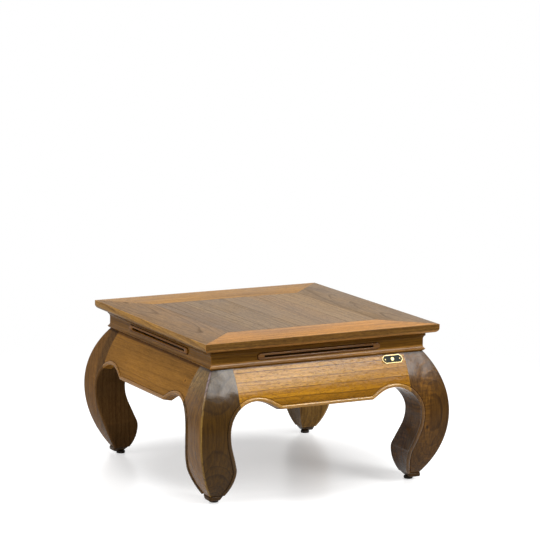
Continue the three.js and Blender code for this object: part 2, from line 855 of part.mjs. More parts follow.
// Blocks glued in the angle of waist and top, each with two screws up into the frame
// and one out into the waist
const blockTop = topUnder - fitGap;
const blockFoot = blockTop - blockHeight;
const blockOuter = waistInner - fitGap;
const blockInner = blockOuter - blockDepth;

function screw(length) {
  return turned([
    flatPoint(0, 0),
    flatPoint(screwHeadRadius, 0),
    flatPoint(screwShankRadius, screwHeadHeight),
    flatPoint(screwShankRadius, length - screwPointLength),
    flatPoint(0, length),
  ], screwSides);
}

function screwBore(length) {
  return turned([
    flatPoint(0, -overrun),
    flatPoint(screwHeadRadius + fitGap, -overrun),
    flatPoint(screwHeadRadius + fitGap, fitGap),
    flatPoint(screwShankRadius + fitGap, screwHeadHeight + fitGap),
    flatPoint(screwShankRadius + fitGap, length + overrun),
    flatPoint(0, length + overrun),
  ], screwSides);
}

function asTopScrew(geometry, side) {
  geometry.translate((side * topScrewSpacing) / 2, -(blockInner + blockOuter) / 2, blockFoot);
  return solidOf(geometry);
}

function asSideScrew(geometry) {
  geometry.rotateX(quarter);
  geometry.translate(0, -blockInner, (blockFoot + blockTop) / 2);
  return solidOf(geometry);
}

function fixingBlock() {
  const profile = [
    flatPoint(blockInner + blockChamfer, blockFoot),
    flatPoint(blockOuter, blockFoot),
    flatPoint(blockOuter, blockTop),
    flatPoint(blockInner, blockTop),
    flatPoint(blockInner, blockFoot + blockChamfer),
  ];
  return cut(frontBar(profile, () => blockLength / 2), [
    asTopScrew(screwBore(blockHeight), -1),
    asTopScrew(screwBore(blockHeight), 1),
    asSideScrew(screwBore(blockDepth)),
  ]);
}

// Plate: cut-off corners, a raised rim and a plain boss, with nothing written on it
function plateOutline(inset) {
  const x = plateLength / 2 - inset;
  const y = plateHeight / 2 - inset;
  const chamfer = plateChamfer - inset * (2 - Math.SQRT2);
  return [
    flatPoint(x - chamfer, -y), flatPoint(x, -y + chamfer),
    flatPoint(x, y - chamfer), flatPoint(x - chamfer, y),
    flatPoint(-x + chamfer, y), flatPoint(-x, y - chamfer),
    flatPoint(-x, -y + chamfer), flatPoint(-x + chamfer, -y),
  ];
}

function platePiece() {
  const base = (points, thickness) => new THREE.ExtrudeGeometry(points, {
    depth: thickness, bevelEnabled: false,
  });
  const rim = new THREE.Shape(plateOutline(0));
  rim.holes.push(new THREE.Path(plateOutline(plateRimWidth).reverse()));
  const parts = [
    base(new THREE.Shape(plateOutline(0)), plateThickness),
    base(rim, plateThickness + plateRimRaise),
    base(new THREE.Shape(arc(0, 0, plateBossRadius, 0, 2 * Math.PI, 2 * arcSteps).slice(1)),
      plateThickness + plateRimRaise),
  ];
  const seated = parts.map((geometry) => {
    geometry.translate(0, 0, plateGap);
    return solidOf(onPlateSeat(geometry));
  });
  const holes = pinSides.map((side) => solidOf(
    onPlateSeat(pinRod(side, pinShankRadius + fitGap, -overrun, overrun)),
  ));
  return cut(joined(seated), holes);
}

function pin(side) {
  const head = plateGap + plateThickness + fitGap;
  const geometry = turned([
    flatPoint(0, head - pinLength),
    flatPoint(pinShankRadius, head - pinLength + 2 * pinShankRadius),
    flatPoint(pinShankRadius, head),
    flatPoint(pinHeadRadius, head),
    flatPoint(pinHeadRadius, head + pinHeadHeight / 2),
    flatPoint(pinShankRadius, head + pinHeadHeight),
    flatPoint(0, head + pinHeadHeight),
  ], screwSides);
  geometry.translate((side * pinSpacing) / 2, 0, 0);
  return solidOf(onPlateSeat(geometry));
}

// The assembly: each side of the table is the front turned about the upright axis
const table = new THREE.Group();

function place(parent, name, solid, material) {
  const mesh = new THREE.Mesh(geometryOf(solid), material);
  mesh.name = name;
  parent.add(mesh);
}

const sideNames = ['front', 'right', 'back', 'left'];
const cornerNames = ['front_right', 'back_right', 'back_left', 'front_left'];
const tenonedRail = topRail(true);
const mortisedRail = topRail(false);
const plainApron = apron(false);
const platedApron = apron(true);
const strip = waistStrip();
const oval = ovalMoulding();
const legSolid = leg();
const padSolid = footPad();
const glideSolid = glide();
const blockSolid = fixingBlock();
const sideScrew = asSideScrew(screw(sideScrewLength));

sideNames.forEach((side, turn) => {
  const corner = cornerNames[turn];
  const quarterOfTable = new THREE.Group();
  quarterOfTable.rotation.z = turn * quarter;
  table.add(quarterOfTable);
  const isFrontOrBack = turn % 2 === 0;
  const add = (name, solid, material) => place(quarterOfTable, name, solid, material);
  add(`top_rail_${side}`, isFrontOrBack ? tenonedRail : mortisedRail,
    isFrontOrBack ? frontRailWood : sideRailWood);
  add(`waist_${side}`, strip, waistWood);
  add(`oval_moulding_${side}`, oval, waistWood);
  add(`apron_${side}`, side === 'front' ? platedApron : plainApron, apronWood);
  add(`fixing_block_${side}`, blockSolid, innerWood);
  add(`top_screw_${side}_a`, asTopScrew(screw(topScrewLength), -1), steel);
  add(`top_screw_${side}_b`, asTopScrew(screw(topScrewLength), 1), steel);
  add(`waist_screw_${side}`, sideScrew, steel);
  add(`leg_${corner}`, legSolid, legWood);
  add(`foot_pad_${corner}`, padSolid, legWood);
  add(`glide_${corner}`, glideSolid, blackPlastic);
});

let boardLeft = -frameInner;
boardWidthShares.forEach((share, i) => {
  const isLast = i === boardWidthShares.length - 1;
  const boardRight = isLast ? frameInner : boardLeft + share * 2 * frameInner;
  const solid = board(boardLeft, boardRight, i === 0, isLast);
  place(table, `panel_board_${i + 1}`, solid, panelWood);
  boardLeft = boardRight;
});

place(table, 'batten_front', batten(-1), innerWood);
place(table, 'batten_back', batten(1), innerWood);
place(table, 'plate', platePiece(), brass);
place(table, 'plate_pin_left', pin(-1), brass);
place(table, 'plate_pin_right', pin(1), brass);

export default table;
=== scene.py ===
# A square low table in varnished wood: mitred top, moulded waist, swelling beaded
# aprons and four sawn legs on small feet. Each piece that shows is drawn, sawn, moulded
# and rounded at its place in the CAD frame, then varnished. The boards start from their
# CAD shape, and what lies hidden under the top keeps it.
# Lengths are metres, and the pieces' sizes are millimetres times MM. Angles are degrees,
# except QUARTER_TURN and SHARP_TURN.

import math

import bmesh
import bpy
from mathutils import Matrix, Vector


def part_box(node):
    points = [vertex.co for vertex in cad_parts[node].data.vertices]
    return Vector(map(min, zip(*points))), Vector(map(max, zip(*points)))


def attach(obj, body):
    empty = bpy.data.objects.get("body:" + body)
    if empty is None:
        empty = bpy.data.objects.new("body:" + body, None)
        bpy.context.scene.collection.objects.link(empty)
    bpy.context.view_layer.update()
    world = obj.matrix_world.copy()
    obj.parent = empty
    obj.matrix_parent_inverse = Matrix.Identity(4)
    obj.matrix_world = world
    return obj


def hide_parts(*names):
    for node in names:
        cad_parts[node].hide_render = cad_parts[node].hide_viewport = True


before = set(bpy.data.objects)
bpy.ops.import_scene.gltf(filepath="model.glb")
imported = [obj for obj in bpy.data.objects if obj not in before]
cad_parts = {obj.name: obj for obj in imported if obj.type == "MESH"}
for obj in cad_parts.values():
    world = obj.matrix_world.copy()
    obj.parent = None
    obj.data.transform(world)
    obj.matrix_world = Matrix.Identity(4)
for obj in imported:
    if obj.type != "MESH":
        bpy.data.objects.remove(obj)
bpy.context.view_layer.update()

MM = 0.001
QUARTER_TURN = math.pi / 2
SIDES = ("front", "right", "back", "left")
CORNERS = ("front_right", "back_right", "back_left", "front_left")

# The top
TABLE_TOP = 370 * MM
TOP_UNDER = 349.5 * MM
HALF_TOP = 300 * MM
FRAME_INNER = 193 * MM
EDGE_ROUND = 11 * MM
TOP_ARRIS = 1.2 * MM
SEAM_EASING = 0.45 * MM
MITRE_GAP = 0.14 * MM

# The waist and its oval mouldings
WAIST_FOOT = 305.5 * MM
WAIST_HALF = 272.6 * MM
WAIST_INNER = 254.6 * MM
LIP_PROJECTION = 4.3 * MM
LIP_HEIGHT = 13 * MM
LIP_ROOT = 0.6 * MM
LIP_NOSE = 1.2 * MM
LIP_NOSE_CENTRE = 4.2 * MM
LIP_NOSE_START = -50
LIP_NOSE_TURN = 110
COVE_PROJECTION = 4.1 * MM
COVE_RADIUS = 9.8 * MM
COVE_TURN = 54
COVE_FOOT = 333.1 * MM
FILLET_FOOT = 341.1 * MM
OVAL_CENTRE = 326.3 * MM
OVAL_LENGTH = 315 * MM
OVAL_HEIGHT = 16 * MM
OVAL_SLOT_LENGTH = 280 * MM
OVAL_SLOT_HEIGHT = 4.6 * MM
OVAL_PROJECTION = 3 * MM
OVAL_SEAT = 1.4 * MM
OVAL_GAP = 1 * MM
OVAL_ROUND = 2.4 * MM
OVAL_POCKET = 6 * MM

# Points further from a bar's middle than this share of its height end its straight sides
STRAIGHT_SHARE = 0.48

# The swelling of aprons and legs, seen from the side
APRON_TOP = 305.3 * MM
BELLY_HEIGHT = 165 * MM
BELLY_HALF = 320.4 * MM
UPPER_RADIUS = 229.8 * MM
LOWER_RADIUS = 254.8 * MM
ANKLE_HALF = 273 * MM
FOOT_TOP = 17 * MM
SWELLING_STEPS = 60

# The outline of the opening, seen from the front
APRON_EDGE = 212 * MM
APRON_END = 218.9 * MM
APRON_THICKNESS = 22 * MM
ARCH_HALF = 178 * MM
ARCH_RADIUS = 67.3 * MM
ARCH_CENTRE = 167 * MM
SHOULDER_RADIUS = 80 * MM
SHOULDER_CENTRE = 154.3 * MM
CUSP_HALF = 118 * MM
CUSP_SLOPE = 30
SEAM_ANGLE = 52.5
SEAM_OVERLAP = 7
THROAT_HALF = 245.3 * MM
THROAT_RADIUS = 125.6 * MM
THROAT_LEAN = 19.31
KNEE_HALF = 221.8 * MM
KNEE_RADIUS = 36.2 * MM
KNEE_HEIGHT = 72.4 * MM
FOOT_RADIUS = 110 * MM
FOOT_ANGLE = 30.2
FOOT_INNER = 236.8 * MM
FACE_SLOPE = 0.209

# The bead along the opening and the quirk beside it
BEAD_RADIUS = 4.6 * MM
BEAD_SINK = 1.8 * MM
BEAD_INSET = 4.1 * MM
QUIRK_RADIUS = 1.2 * MM
QUIRK_INSET = 8.9 * MM
QUIRK_SINK = -0.3 * MM
LONGEST_STEP = 20 * MM

# Legs and feet
LEG_FACE = 219.1 * MM
POST_OUTER = 254.3 * MM
POST_ROOT = 4 * MM
ARRIS_RADIUS = 4 * MM
PAD_PROUD = 1.2 * MM
PAD_FOOT = 6.5 * MM
PAD_TOP = 16.8 * MM
PAD_SETBACK = 0.5 * MM
PAD_DRAW = 9.5 * MM
PAD_CORNER = 5 * MM
PAD_ROUND = 3.4 * MM
GLIDE_PLACE = 252.7 * MM
GLIDE_HEIGHT = 6.3 * MM
GLIDE_RADIUS = 10.5 * MM
GLIDE_ROUND = 1.4 * MM
NAIL_RADIUS = 1.4 * MM
NAIL_LENGTH = 22 * MM

# The bare plate and its pins
PLATE_PLACE = (186 * MM, 293.5 * MM)
PLATE_LENGTH = 52 * MM
PLATE_HEIGHT = 20 * MM
PLATE_THICKNESS = 1.2 * MM
PLATE_CHAMFER = 6.5 * MM
PLATE_RIM = 1.2 * MM
PLATE_RIM_RAISE = 0.6 * MM
PLATE_RIM_SLOPE = 0.15 * MM
PLATE_GAP = 0.4 * MM
BOSS_RADIUS = 4.5 * MM
BOSS_ROUND = 0.5 * MM
PIN_SPACING = 38 * MM
PIN_RADIUS = 1.7 * MM
PIN_HEIGHT = 0.9 * MM
PIN_ROUND = 0.7 * MM

# How far cutters and drawing planes reach past the wood, and how exact a place is
SAW_REACH = 6 * MM
CLEAR_OF_BELLY = BELLY_HALF + 4 * SAW_REACH
FORMER_REACH = 2 * HALF_TOP
TOLERANCE = 0.02 * MM

# An edge is sharp past the first of these turns, and shaded smooth up to the second.
# Edges are upright, and faces look up, that rise by more than these shares.
SHARP_TURN = 1
SMOOTH_TURN = 30
UPRIGHT = 0.7
LOOKS_UP = 0.9

BODY_MARK = bpy.data.materials.new("body_mark")
BEAD_MARK = bpy.data.materials.new("bead_mark")


# The bench

def take(*pieces):
    """Selects these pieces alone, and makes the first the active one"""
    bpy.ops.object.select_all(action="DESELECT")
    for piece in pieces:
        piece.select_set(True)
    bpy.context.view_layer.objects.active = pieces[0]


def to_the_bench(*piece):
    """Opens a piece, or else the one just made, for work on its points and faces"""
    if piece:
        take(*piece)
    bpy.ops.object.mode_set(mode="EDIT")
    bpy.ops.mesh.select_mode(type="VERT")


def off_the_bench():
    bpy.ops.object.mode_set(mode="OBJECT")
    return bpy.context.object


def pick_all():
    bpy.ops.mesh.select_all(action="SELECT")


def pick(kind, test):
    """Selects the points, edges or faces of the edited mesh that pass the test"""
    bpy.ops.mesh.select_mode(type=kind)
    bpy.ops.mesh.select_all(action="DESELECT")
    mesh = bmesh.from_edit_mesh(bpy.context.object.data)
    mesh.normal_update()
    for element in {"VERT": mesh.verts, "EDGE": mesh.edges, "FACE": mesh.faces}[kind]:
        if test(element):
            element.select_set(True)
    mesh.select_flush_mode()
    bmesh.update_edit_mesh(bpy.context.object.data)


def near(value, goal):
    return abs(value - goal) < TOLERANCE


def edge_ends(edge):
    return [vertex.co for vertex in edge.verts]


def is_upright(edge):
    start, end = edge_ends(edge)
    return abs((end - start).normalized().z) > UPRIGHT


def is_sharp(edge):
    return edge.calc_face_angle(0) > SHARP_TURN


def looks_up(face):
    return face.normal.z > LOOKS_UP


def bevel(width, segments):
    bpy.ops.mesh.bevel(offset=width, segments=segments, affect="EDGES")


def pull_out(*way):
    bpy.ops.mesh.extrude_region_move(TRANSFORM_OT_translate={"value": way})


def shift(*way):
    bpy.ops.transform.translate(value=way)


def merge_points(distance=TOLERANCE):
    bpy.ops.mesh.remove_doubles(threshold=distance)


def fill():
    """Closes a drawn outline and fills it"""
    pick_all()
    merge_points()
    bpy.ops.mesh.edge_face_add()


def saw_off(place, way):
    """Cuts away what lies past a plane, and closes the cut"""
    pick_all()
    bpy.ops.mesh.bisect(plane_co=place, plane_no=way, use_fill=True, clear_outer=True)


def fix_place():
    """Puts the selected piece's place, turn and scale into its mesh"""
    bpy.ops.object.transform_apply(location=True, rotation=True, scale=True)


def settle(piece=None):
    """Fixes the place of a piece, or of the one on the bench, and cleans its mesh"""
    take(piece or off_the_bench())
    fix_place()
    to_the_bench()
    pick_all()
    merge_points(TOLERANCE / 4)
    bpy.ops.mesh.normals_make_consistent(inside=False)
    return off_the_bench()


def smooth(piece):
    take(piece)
    bpy.ops.object.shade_smooth_by_angle(angle=math.radians(SMOOTH_TURN))


def use_modifier(piece, kind, **settings):
    take(piece)
    bpy.ops.object.modifier_add(type=kind)
    modifier = piece.modifiers[-1]
    for name, value in settings.items():
        setattr(modifier, name, value)
    bpy.ops.object.modifier_apply(modifier=modifier.name)


def scrap(*pieces):
    take(*pieces)
    bpy.ops.object.delete()


def combine(piece, tool, operation, crossing=False):
    """Joins a tool to the piece, cuts it away or keeps what they share, and scraps it"""
    use_modifier(piece, "BOOLEAN", object=tool, operation=operation, solver="EXACT",
                 use_self=crossing, material_mode="TRANSFER")
    scrap(tool)


def mark(piece, *finishes):
    """Gives the piece stand-ins for its finishes, which hand_in changes for real ones"""
    piece.data.materials.clear()
    for finish in finishes:
        piece.data.materials.append(finish)
    return piece


def give_second_finish(piece, test):
    """Gives the second of its finishes to the faces that pass the test"""
    to_the_bench(piece)
    pick("FACE", test)
    piece.active_material_index = 1
    bpy.ops.object.material_slot_assign()
    return off_the_bench()


def block(low, high):
    """A sawn block between two corners"""
    middle = [(a + b) / 2 for a, b in zip(low, high)]
    size = [b - a for a, b in zip(low, high)]
    bpy.ops.mesh.primitive_cube_add(size=1, location=middle, scale=size)
    fix_place()
    return bpy.context.object


def turned_bar(across, out, foot, radius, height, sides):
    """A round bar that stands upright, made on the lathe"""
    bpy.ops.mesh.primitive_cylinder_add(vertices=sides, radius=radius, depth=height,
                                        location=(across, -out, foot + height / 2))
    fix_place()
    return bpy.context.object


class Pencil:
    """Draws an outline in (across, height), seen from the front or from the side"""

    def __init__(self, start, from_side=False, *, out):
        self.from_side = from_side
        self.out = out
        self.at = Vector(start)
        bpy.ops.mesh.primitive_plane_add(size=MM, location=self.place(self.at))
        to_the_bench()
        bpy.ops.mesh.merge(type="CENTER")

    def place(self, point):
        across, height = point
        if self.from_side:
            return Vector((self.out, -across, height))
        return Vector((across, -self.out, height))

    def line(self, across, height):
        goal = Vector((across, height))
        pull_out(*(self.place(goal) - self.place(self.at)))
        self.at = goal

    def arc(self, centre, degrees, steps):
        centre = Vector(centre)
        axis = (1, 0, 0) if self.from_side else (0, 1, 0)
        bpy.ops.mesh.spin(steps=steps, angle=math.radians(degrees),
                          center=self.place(centre), axis=axis)
        turn = Matrix.Rotation(math.radians(degrees), 2)
        self.at = centre + turn @ (self.at - centre)

    def pull(self, *way):
        """Fills the outline and pulls it out into a solid"""
        fill()
        pull_out(*way)
        return settle()


def on_circle(centre, radius, degrees):
    turn = math.radians(degrees)
    return (centre[0] + radius * math.cos(turn), centre[1] + radius * math.sin(turn))


def mitre(piece):
    """Saws both ends of a bar on the front side to meet its neighbours"""
    to_the_bench(piece)
    for side in (-1, 1):
        saw_off((0, -MITRE_GAP, 0), (side, 1, 0))
    return off_the_bench()


def turned_copy(piece, turns):
    """A copy of the piece with a mesh of its own, turned to another side of the table"""
    take(piece)
    bpy.ops.object.duplicate()
    copy = bpy.context.object
    copy.rotation_euler.z = turns * QUARTER_TURN
    fix_place()
    return copy


def hand_in(piece, name, finishes, nodes=None):
    piece.name = name
    piece.data.name = name
    for place, finish in enumerate(finishes):
        if place < len(piece.data.materials):
            piece.data.materials[place] = finish
        else:
            piece.data.materials.append(finish)
    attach(piece, "root")
    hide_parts(*(nodes or [name]))


# The joinery

def top_rail():
    """Front rail: a square bar, rounded well below and barely above"""
    rail = block((-HALF_TOP, -HALF_TOP, TOP_UNDER), (HALF_TOP, -FRAME_INNER, TABLE_TOP))
    to_the_bench(rail)
    for y, z, width, segments in (
        (-HALF_TOP, TOP_UNDER, EDGE_ROUND, 14),
        (-HALF_TOP, TABLE_TOP, TOP_ARRIS, 4),
        (-FRAME_INNER, TABLE_TOP, SEAM_EASING, 2),
    ):
        pick("EDGE", lambda e: all(near(p.y, y) and near(p.z, z) for p in edge_ends(e)))
        bevel(width, segments)
    off_the_bench()
    return settle(mitre(rail))


def panel_board(node):
    """A board of the panel: the CAD board with its tongues, its upper edges eased"""
    take(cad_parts[node])
    bpy.ops.object.duplicate()
    board = bpy.context.object
    board.parent = None
    for key in list(board.keys()):
        del board[key]
    to_the_bench(board)
    pick_all()
    merge_points()
    bpy.ops.mesh.dissolve_limited(angle_limit=math.radians(1))
    pick("EDGE", lambda e: all(near(p.z, TABLE_TOP) for p in edge_ends(e)))
    bevel(SEAM_EASING, 2)
    return settle()


def stadium_bar(length, height, deep, shallow):
    """A bar with round ends on the front of the waist, from one depth to another"""
    bpy.ops.mesh.primitive_circle_add(vertices=32, radius=height / 2, fill_type="NOTHING",
                                      location=(0, -deep, OVAL_CENTRE),
                                      rotation=(QUARTER_TURN, 0, 0))
    fix_place()
    to_the_bench()
    for side in (-1, 1):
        pick("VERT", lambda v: v.co.x * side > TOLERANCE)
        shift(side * (length - height) / 2, 0, 0)
    pick("VERT", lambda v: near(v.co.x, 0))
    bpy.ops.mesh.delete(type="VERT")
    for level in (1, -1):
        pick("VERT", lambda v: (v.co.z - OVAL_CENTRE) * level > STRAIGHT_SHARE * height)
        bpy.ops.mesh.edge_face_add()
    fill()
    pull_out(0, deep - shallow, 0)
    return settle()


def waist_strip():
    """Front strip of the waist: lip, flat, cove and fillet, with the oval's seat"""
    nose = (WAIST_HALF + LIP_PROJECTION - LIP_NOSE, WAIST_FOOT + LIP_NOSE_CENTRE)
    lip_top = WAIST_FOOT + LIP_HEIGHT
    fillet = WAIST_HALF + COVE_PROJECTION
    pen = Pencil((WAIST_INNER, WAIST_FOOT), from_side=True, out=-HALF_TOP)
    pen.line(WAIST_HALF + LIP_ROOT, WAIST_FOOT)
    pen.line(*on_circle(nose, LIP_NOSE, LIP_NOSE_START))
    pen.arc(nose, LIP_NOSE_TURN, 8)
    out = pen.at.x - WAIST_HALF
    rise = lip_top - pen.at.y
    hollow = (out**2 + rise**2) / (2 * out)
    pen.arc((WAIST_HALF + hollow, lip_top), -math.degrees(math.asin(rise / hollow)), 10)
    pen.line(WAIST_HALF, COVE_FOOT)
    pen.arc((WAIST_HALF + COVE_RADIUS, COVE_FOOT), -COVE_TURN, 12)
    pen.line(fillet, FILLET_FOOT)
    pen.line(fillet, TOP_UNDER)
    pen.line(WAIST_INNER, TOP_UNDER)
    pen.line(WAIST_INNER, WAIST_FOOT)
    strip = mitre(pen.pull(2 * HALF_TOP, 0, 0))
    for length, height, depth in (
        (OVAL_LENGTH + 2 * OVAL_GAP, OVAL_HEIGHT + 2 * OVAL_GAP, OVAL_SEAT),
        (OVAL_SLOT_LENGTH, OVAL_SLOT_HEIGHT, OVAL_POCKET),
    ):
        cutter = stadium_bar(length, height, WAIST_HALF - depth, WAIST_HALF + SAW_REACH)
        combine(strip, cutter, "DIFFERENCE")
    mark(settle(strip), BODY_MARK, BEAD_MARK)
    return give_second_finish(strip, lambda f: f.calc_center_median().y < -WAIST_HALF
                              and f.calc_center_median().z < lip_top)


def oval_moulding():
    """The oval moulding: a long rail with round ends and a slot through it"""
    back = WAIST_HALF - OVAL_SEAT
    front = WAIST_HALF + OVAL_PROJECTION
    moulding = stadium_bar(OVAL_LENGTH, OVAL_HEIGHT, back, front)
    slot = stadium_bar(OVAL_SLOT_LENGTH, OVAL_SLOT_HEIGHT, back - MM, front + MM)
    combine(moulding, slot, "DIFFERENCE")
    to_the_bench(moulding)
    pick("EDGE", lambda e: all(near(p.y, -front) for p in edge_ends(e))
         and not e.is_boundary and is_sharp(e))
    bevel(OVAL_ROUND, 5)
    return settle()


def bulge(height):
    """How far the swelling stands out at a height"""
    radius = UPPER_RADIUS if height > BELLY_HEIGHT else LOWER_RADIUS
    return BELLY_HALF - radius + math.sqrt(radius**2 - (height - BELLY_HEIGHT)**2)


def swell(pen, radius, start, end, inset=0):
    """Draws the swelling from one height to another, or a line inside it"""
    before, after = (math.degrees(math.asin((height - BELLY_HEIGHT) / radius))
                     for height in (start, end))
    pen.arc((BELLY_HALF - radius - inset, BELLY_HEIGHT), after - before, SWELLING_STEPS)


def swelling_line(pen):
    """The outer line of a leg from the ankle up to the apron's top"""
    swell(pen, LOWER_RADIUS, FOOT_TOP, BELLY_HEIGHT)
    swell(pen, UPPER_RADIUS, BELLY_HEIGHT, APRON_TOP)


def swelling_former(from_side):
    """A wide skin with the swelling of the faces, to lay the drawn lines on"""
    pen = Pencil((bulge(FOOT_TOP), FOOT_TOP), not from_side, out=-FORMER_REACH)
    swelling_line(pen)
    pick_all()
    if from_side:
        pull_out(0, -2 * FORMER_REACH, 0)
    else:
        pull_out(2 * FORMER_REACH, 0, 0)
    return off_the_bench()


def lay_on(line, former, from_side, sink):
    """Pushes a drawn line back on to the former, and a little below its skin"""
    take(line)
    fix_place()
    use_modifier(line, "SHRINKWRAP", target=former, wrap_method="PROJECT",
                 use_project_x=from_side, use_project_y=not from_side,
                 use_project_z=False, use_positive_direction=not from_side,
                 use_negative_direction=from_side, offset=-sink)


def roundel(line, radius):
    """Draws a round section along a line"""
    take(line)
    bpy.ops.object.convert(target="CURVE")
    line.data.bevel_depth = radius
    line.data.bevel_resolution = 5
    line.data.use_fill_caps = True
    bpy.ops.object.convert(target="MESH")
    return settle(bpy.context.object)


def break_up(line):
    """Adds points along a drawn line, so that it can bend with the face"""
    to_the_bench(line)
    pick("EDGE", lambda e: e.calc_length() > LONGEST_STEP)
    bpy.ops.mesh.subdivide(number_cuts=24)
    off_the_bench()


def apron_edge(pen, inset):
    """The apron's lower edge from the left seam to the right one"""
    reach = 90 - SEAM_ANGLE + SEAM_OVERLAP
    cusp = CUSP_HALF - inset * math.tan(math.radians(CUSP_SLOPE / 2))
    pen.arc((-ARCH_HALF, ARCH_CENTRE), -reach, 24)
    pen.arc((-ARCH_HALF, SHOULDER_CENTRE), -CUSP_SLOPE, 16)
    pen.line(-cusp, APRON_EDGE + inset)
    pen.line(cusp, APRON_EDGE + inset)
    pen.line(*on_circle((ARCH_HALF, SHOULDER_CENTRE), SHOULDER_RADIUS + inset,
                        90 + CUSP_SLOPE))
    pen.arc((ARCH_HALF, SHOULDER_CENTRE), -CUSP_SLOPE, 16)
    pen.arc((ARCH_HALF, ARCH_CENTRE), -reach, 24)


def apron_edge_start(inset):
    return on_circle((-ARCH_HALF, ARCH_CENTRE), ARCH_RADIUS + inset,
                     180 - SEAM_ANGLE + SEAM_OVERLAP)


def leg_edge(pen, inset, overlap=SEAM_OVERLAP):
    """The leg's inner edge from the seam over the throat and the knee to the foot"""
    knee = (KNEE_HALF + KNEE_RADIUS, KNEE_HEIGHT)
    pen.arc((ARCH_HALF, ARCH_CENTRE), -(SEAM_ANGLE + overlap), 26)
    pen.arc((THROAT_HALF - THROAT_RADIUS, ARCH_CENTRE), -THROAT_LEAN, 14)
    pen.line(*on_circle(knee, KNEE_RADIUS - inset, 180 - THROAT_LEAN))
    pen.arc(knee, THROAT_LEAN, 8)
    pen.arc((KNEE_HALF + FOOT_RADIUS, KNEE_HEIGHT), FOOT_ANGLE, 18)


def leg_edge_start(inset, overlap=SEAM_OVERLAP):
    return on_circle((ARCH_HALF, ARCH_CENTRE), ARCH_RADIUS + inset, SEAM_ANGLE + overlap)


def bead_and_quirk(edge, start_of, former, from_side=False):
    """Round bars along an edge, moved inwards and laid on the swelling face"""
    bars = []
    for inset, sink, radius in ((BEAD_INSET, BEAD_SINK, BEAD_RADIUS),
                                (QUIRK_INSET, QUIRK_SINK, QUIRK_RADIUS)):
        pen = Pencil(start_of(inset), from_side, out=CLEAR_OF_BELLY)
        edge(pen, inset)
        line = off_the_bench()
        break_up(line)
        lay_on(line, former, from_side, sink)
        bars.append(roundel(line, radius))
    return bars


def apron(former):
    """Front apron: a swelling plank, beaded, its lower edge sawn square to its face"""
    foot = APRON_EDGE - APRON_THICKNESS
    blank_end = APRON_END + SAW_REACH
    pen = Pencil((bulge(foot), foot), from_side=True, out=-blank_end)
    swell(pen, UPPER_RADIUS, foot, APRON_TOP)
    pen.line(bulge(APRON_TOP) - APRON_THICKNESS, APRON_TOP)
    swell(pen, UPPER_RADIUS, APRON_TOP, foot, APRON_THICKNESS)
    pen.line(bulge(foot), foot)
    plank = pen.pull(2 * blank_end, 0, 0)

    saw_foot = APRON_EDGE - 3 * APRON_THICKNESS
    saw_depth = 2 * APRON_THICKNESS
    pen = Pencil(apron_edge_start(0), out=CLEAR_OF_BELLY)
    apron_edge(pen, 0)
    pen.line(pen.at.x, saw_foot)
    pen.line(-pen.at.x, saw_foot)
    pen.line(*apron_edge_start(0))
    saw = off_the_bench()
    lay_on(saw, former, False, 0)
    to_the_bench(saw)
    fill()
    pull_out(0, saw_depth, -saw_depth * FACE_SLOPE)
    pick("FACE", lambda f: len(f.verts) > 8
         and f.calc_center_median().y < APRON_THICKNESS - BELLY_HALF)
    shift(0, -2 * SAW_REACH, 2 * SAW_REACH * FACE_SLOPE)
    saw = settle()

    bead, quirk = bead_and_quirk(apron_edge, apron_edge_start, former)
    mark(plank, BODY_MARK)
    combine(plank, saw, "DIFFERENCE")
    combine(plank, mark(bead, BEAD_MARK), "UNION", crossing=True)
    combine(plank, quirk, "DIFFERENCE")
    to_the_bench(plank)
    for side in (-1, 1):
        saw_off((side * APRON_END, 0, 0), (side, 0, 0))
    return settle()


def leg_pattern(from_side):
    """The leg sawn to its outline from one face"""
    seam = leg_edge_start(0, 0)
    pen = Pencil((LEG_FACE, APRON_TOP), from_side, out=LEG_FACE - SAW_REACH)
    pen.line(LEG_FACE, seam[1])
    pen.line(*seam)
    leg_edge(pen, 0, 0)
    pen.line(FOOT_INNER, FOOT_TOP)
    pen.line(bulge(FOOT_TOP), FOOT_TOP)
    swelling_line(pen)
    pen.line(LEG_FACE, APRON_TOP)
    depth = BELLY_HALF - LEG_FACE + 2 * SAW_REACH
    way = (depth, 0, 0) if from_side else (0, -depth, 0)
    return pen.pull(*way)


def leg(formers):
    """Front right leg: sawn from two faces, its arris rounded, beaded on both faces"""
    blank = leg_pattern(False)
    combine(blank, leg_pattern(True), "INTERSECT")
    to_the_bench(settle(blank))
    pick("EDGE", lambda e: all(near(p.x, -p.y) and abs(p.x - bulge(p.z)) < 10 * TOLERANCE
                               for p in edge_ends(e)))
    bevel(ARRIS_RADIUS, 8)
    off_the_bench()
    mark(blank, BODY_MARK)
    for from_side in (False, True):
        bead, quirk = bead_and_quirk(leg_edge, leg_edge_start, formers[from_side],
                                     from_side)
        mark(bead, BEAD_MARK)
        trim = block((LEG_FACE, -CLEAR_OF_BELLY, FOOT_TOP),
                     (CLEAR_OF_BELLY, -LEG_FACE, APRON_TOP))
        combine(bead, mark(trim, BEAD_MARK), "INTERSECT")
        combine(blank, bead, "UNION")
        combine(blank, quirk, "DIFFERENCE")
    post = block((LEG_FACE, -POST_OUTER, APRON_TOP - POST_ROOT),
                 (POST_OUTER, -LEG_FACE, TOP_UNDER))
    combine(blank, mark(post, BODY_MARK), "UNION")
    return settle(blank)


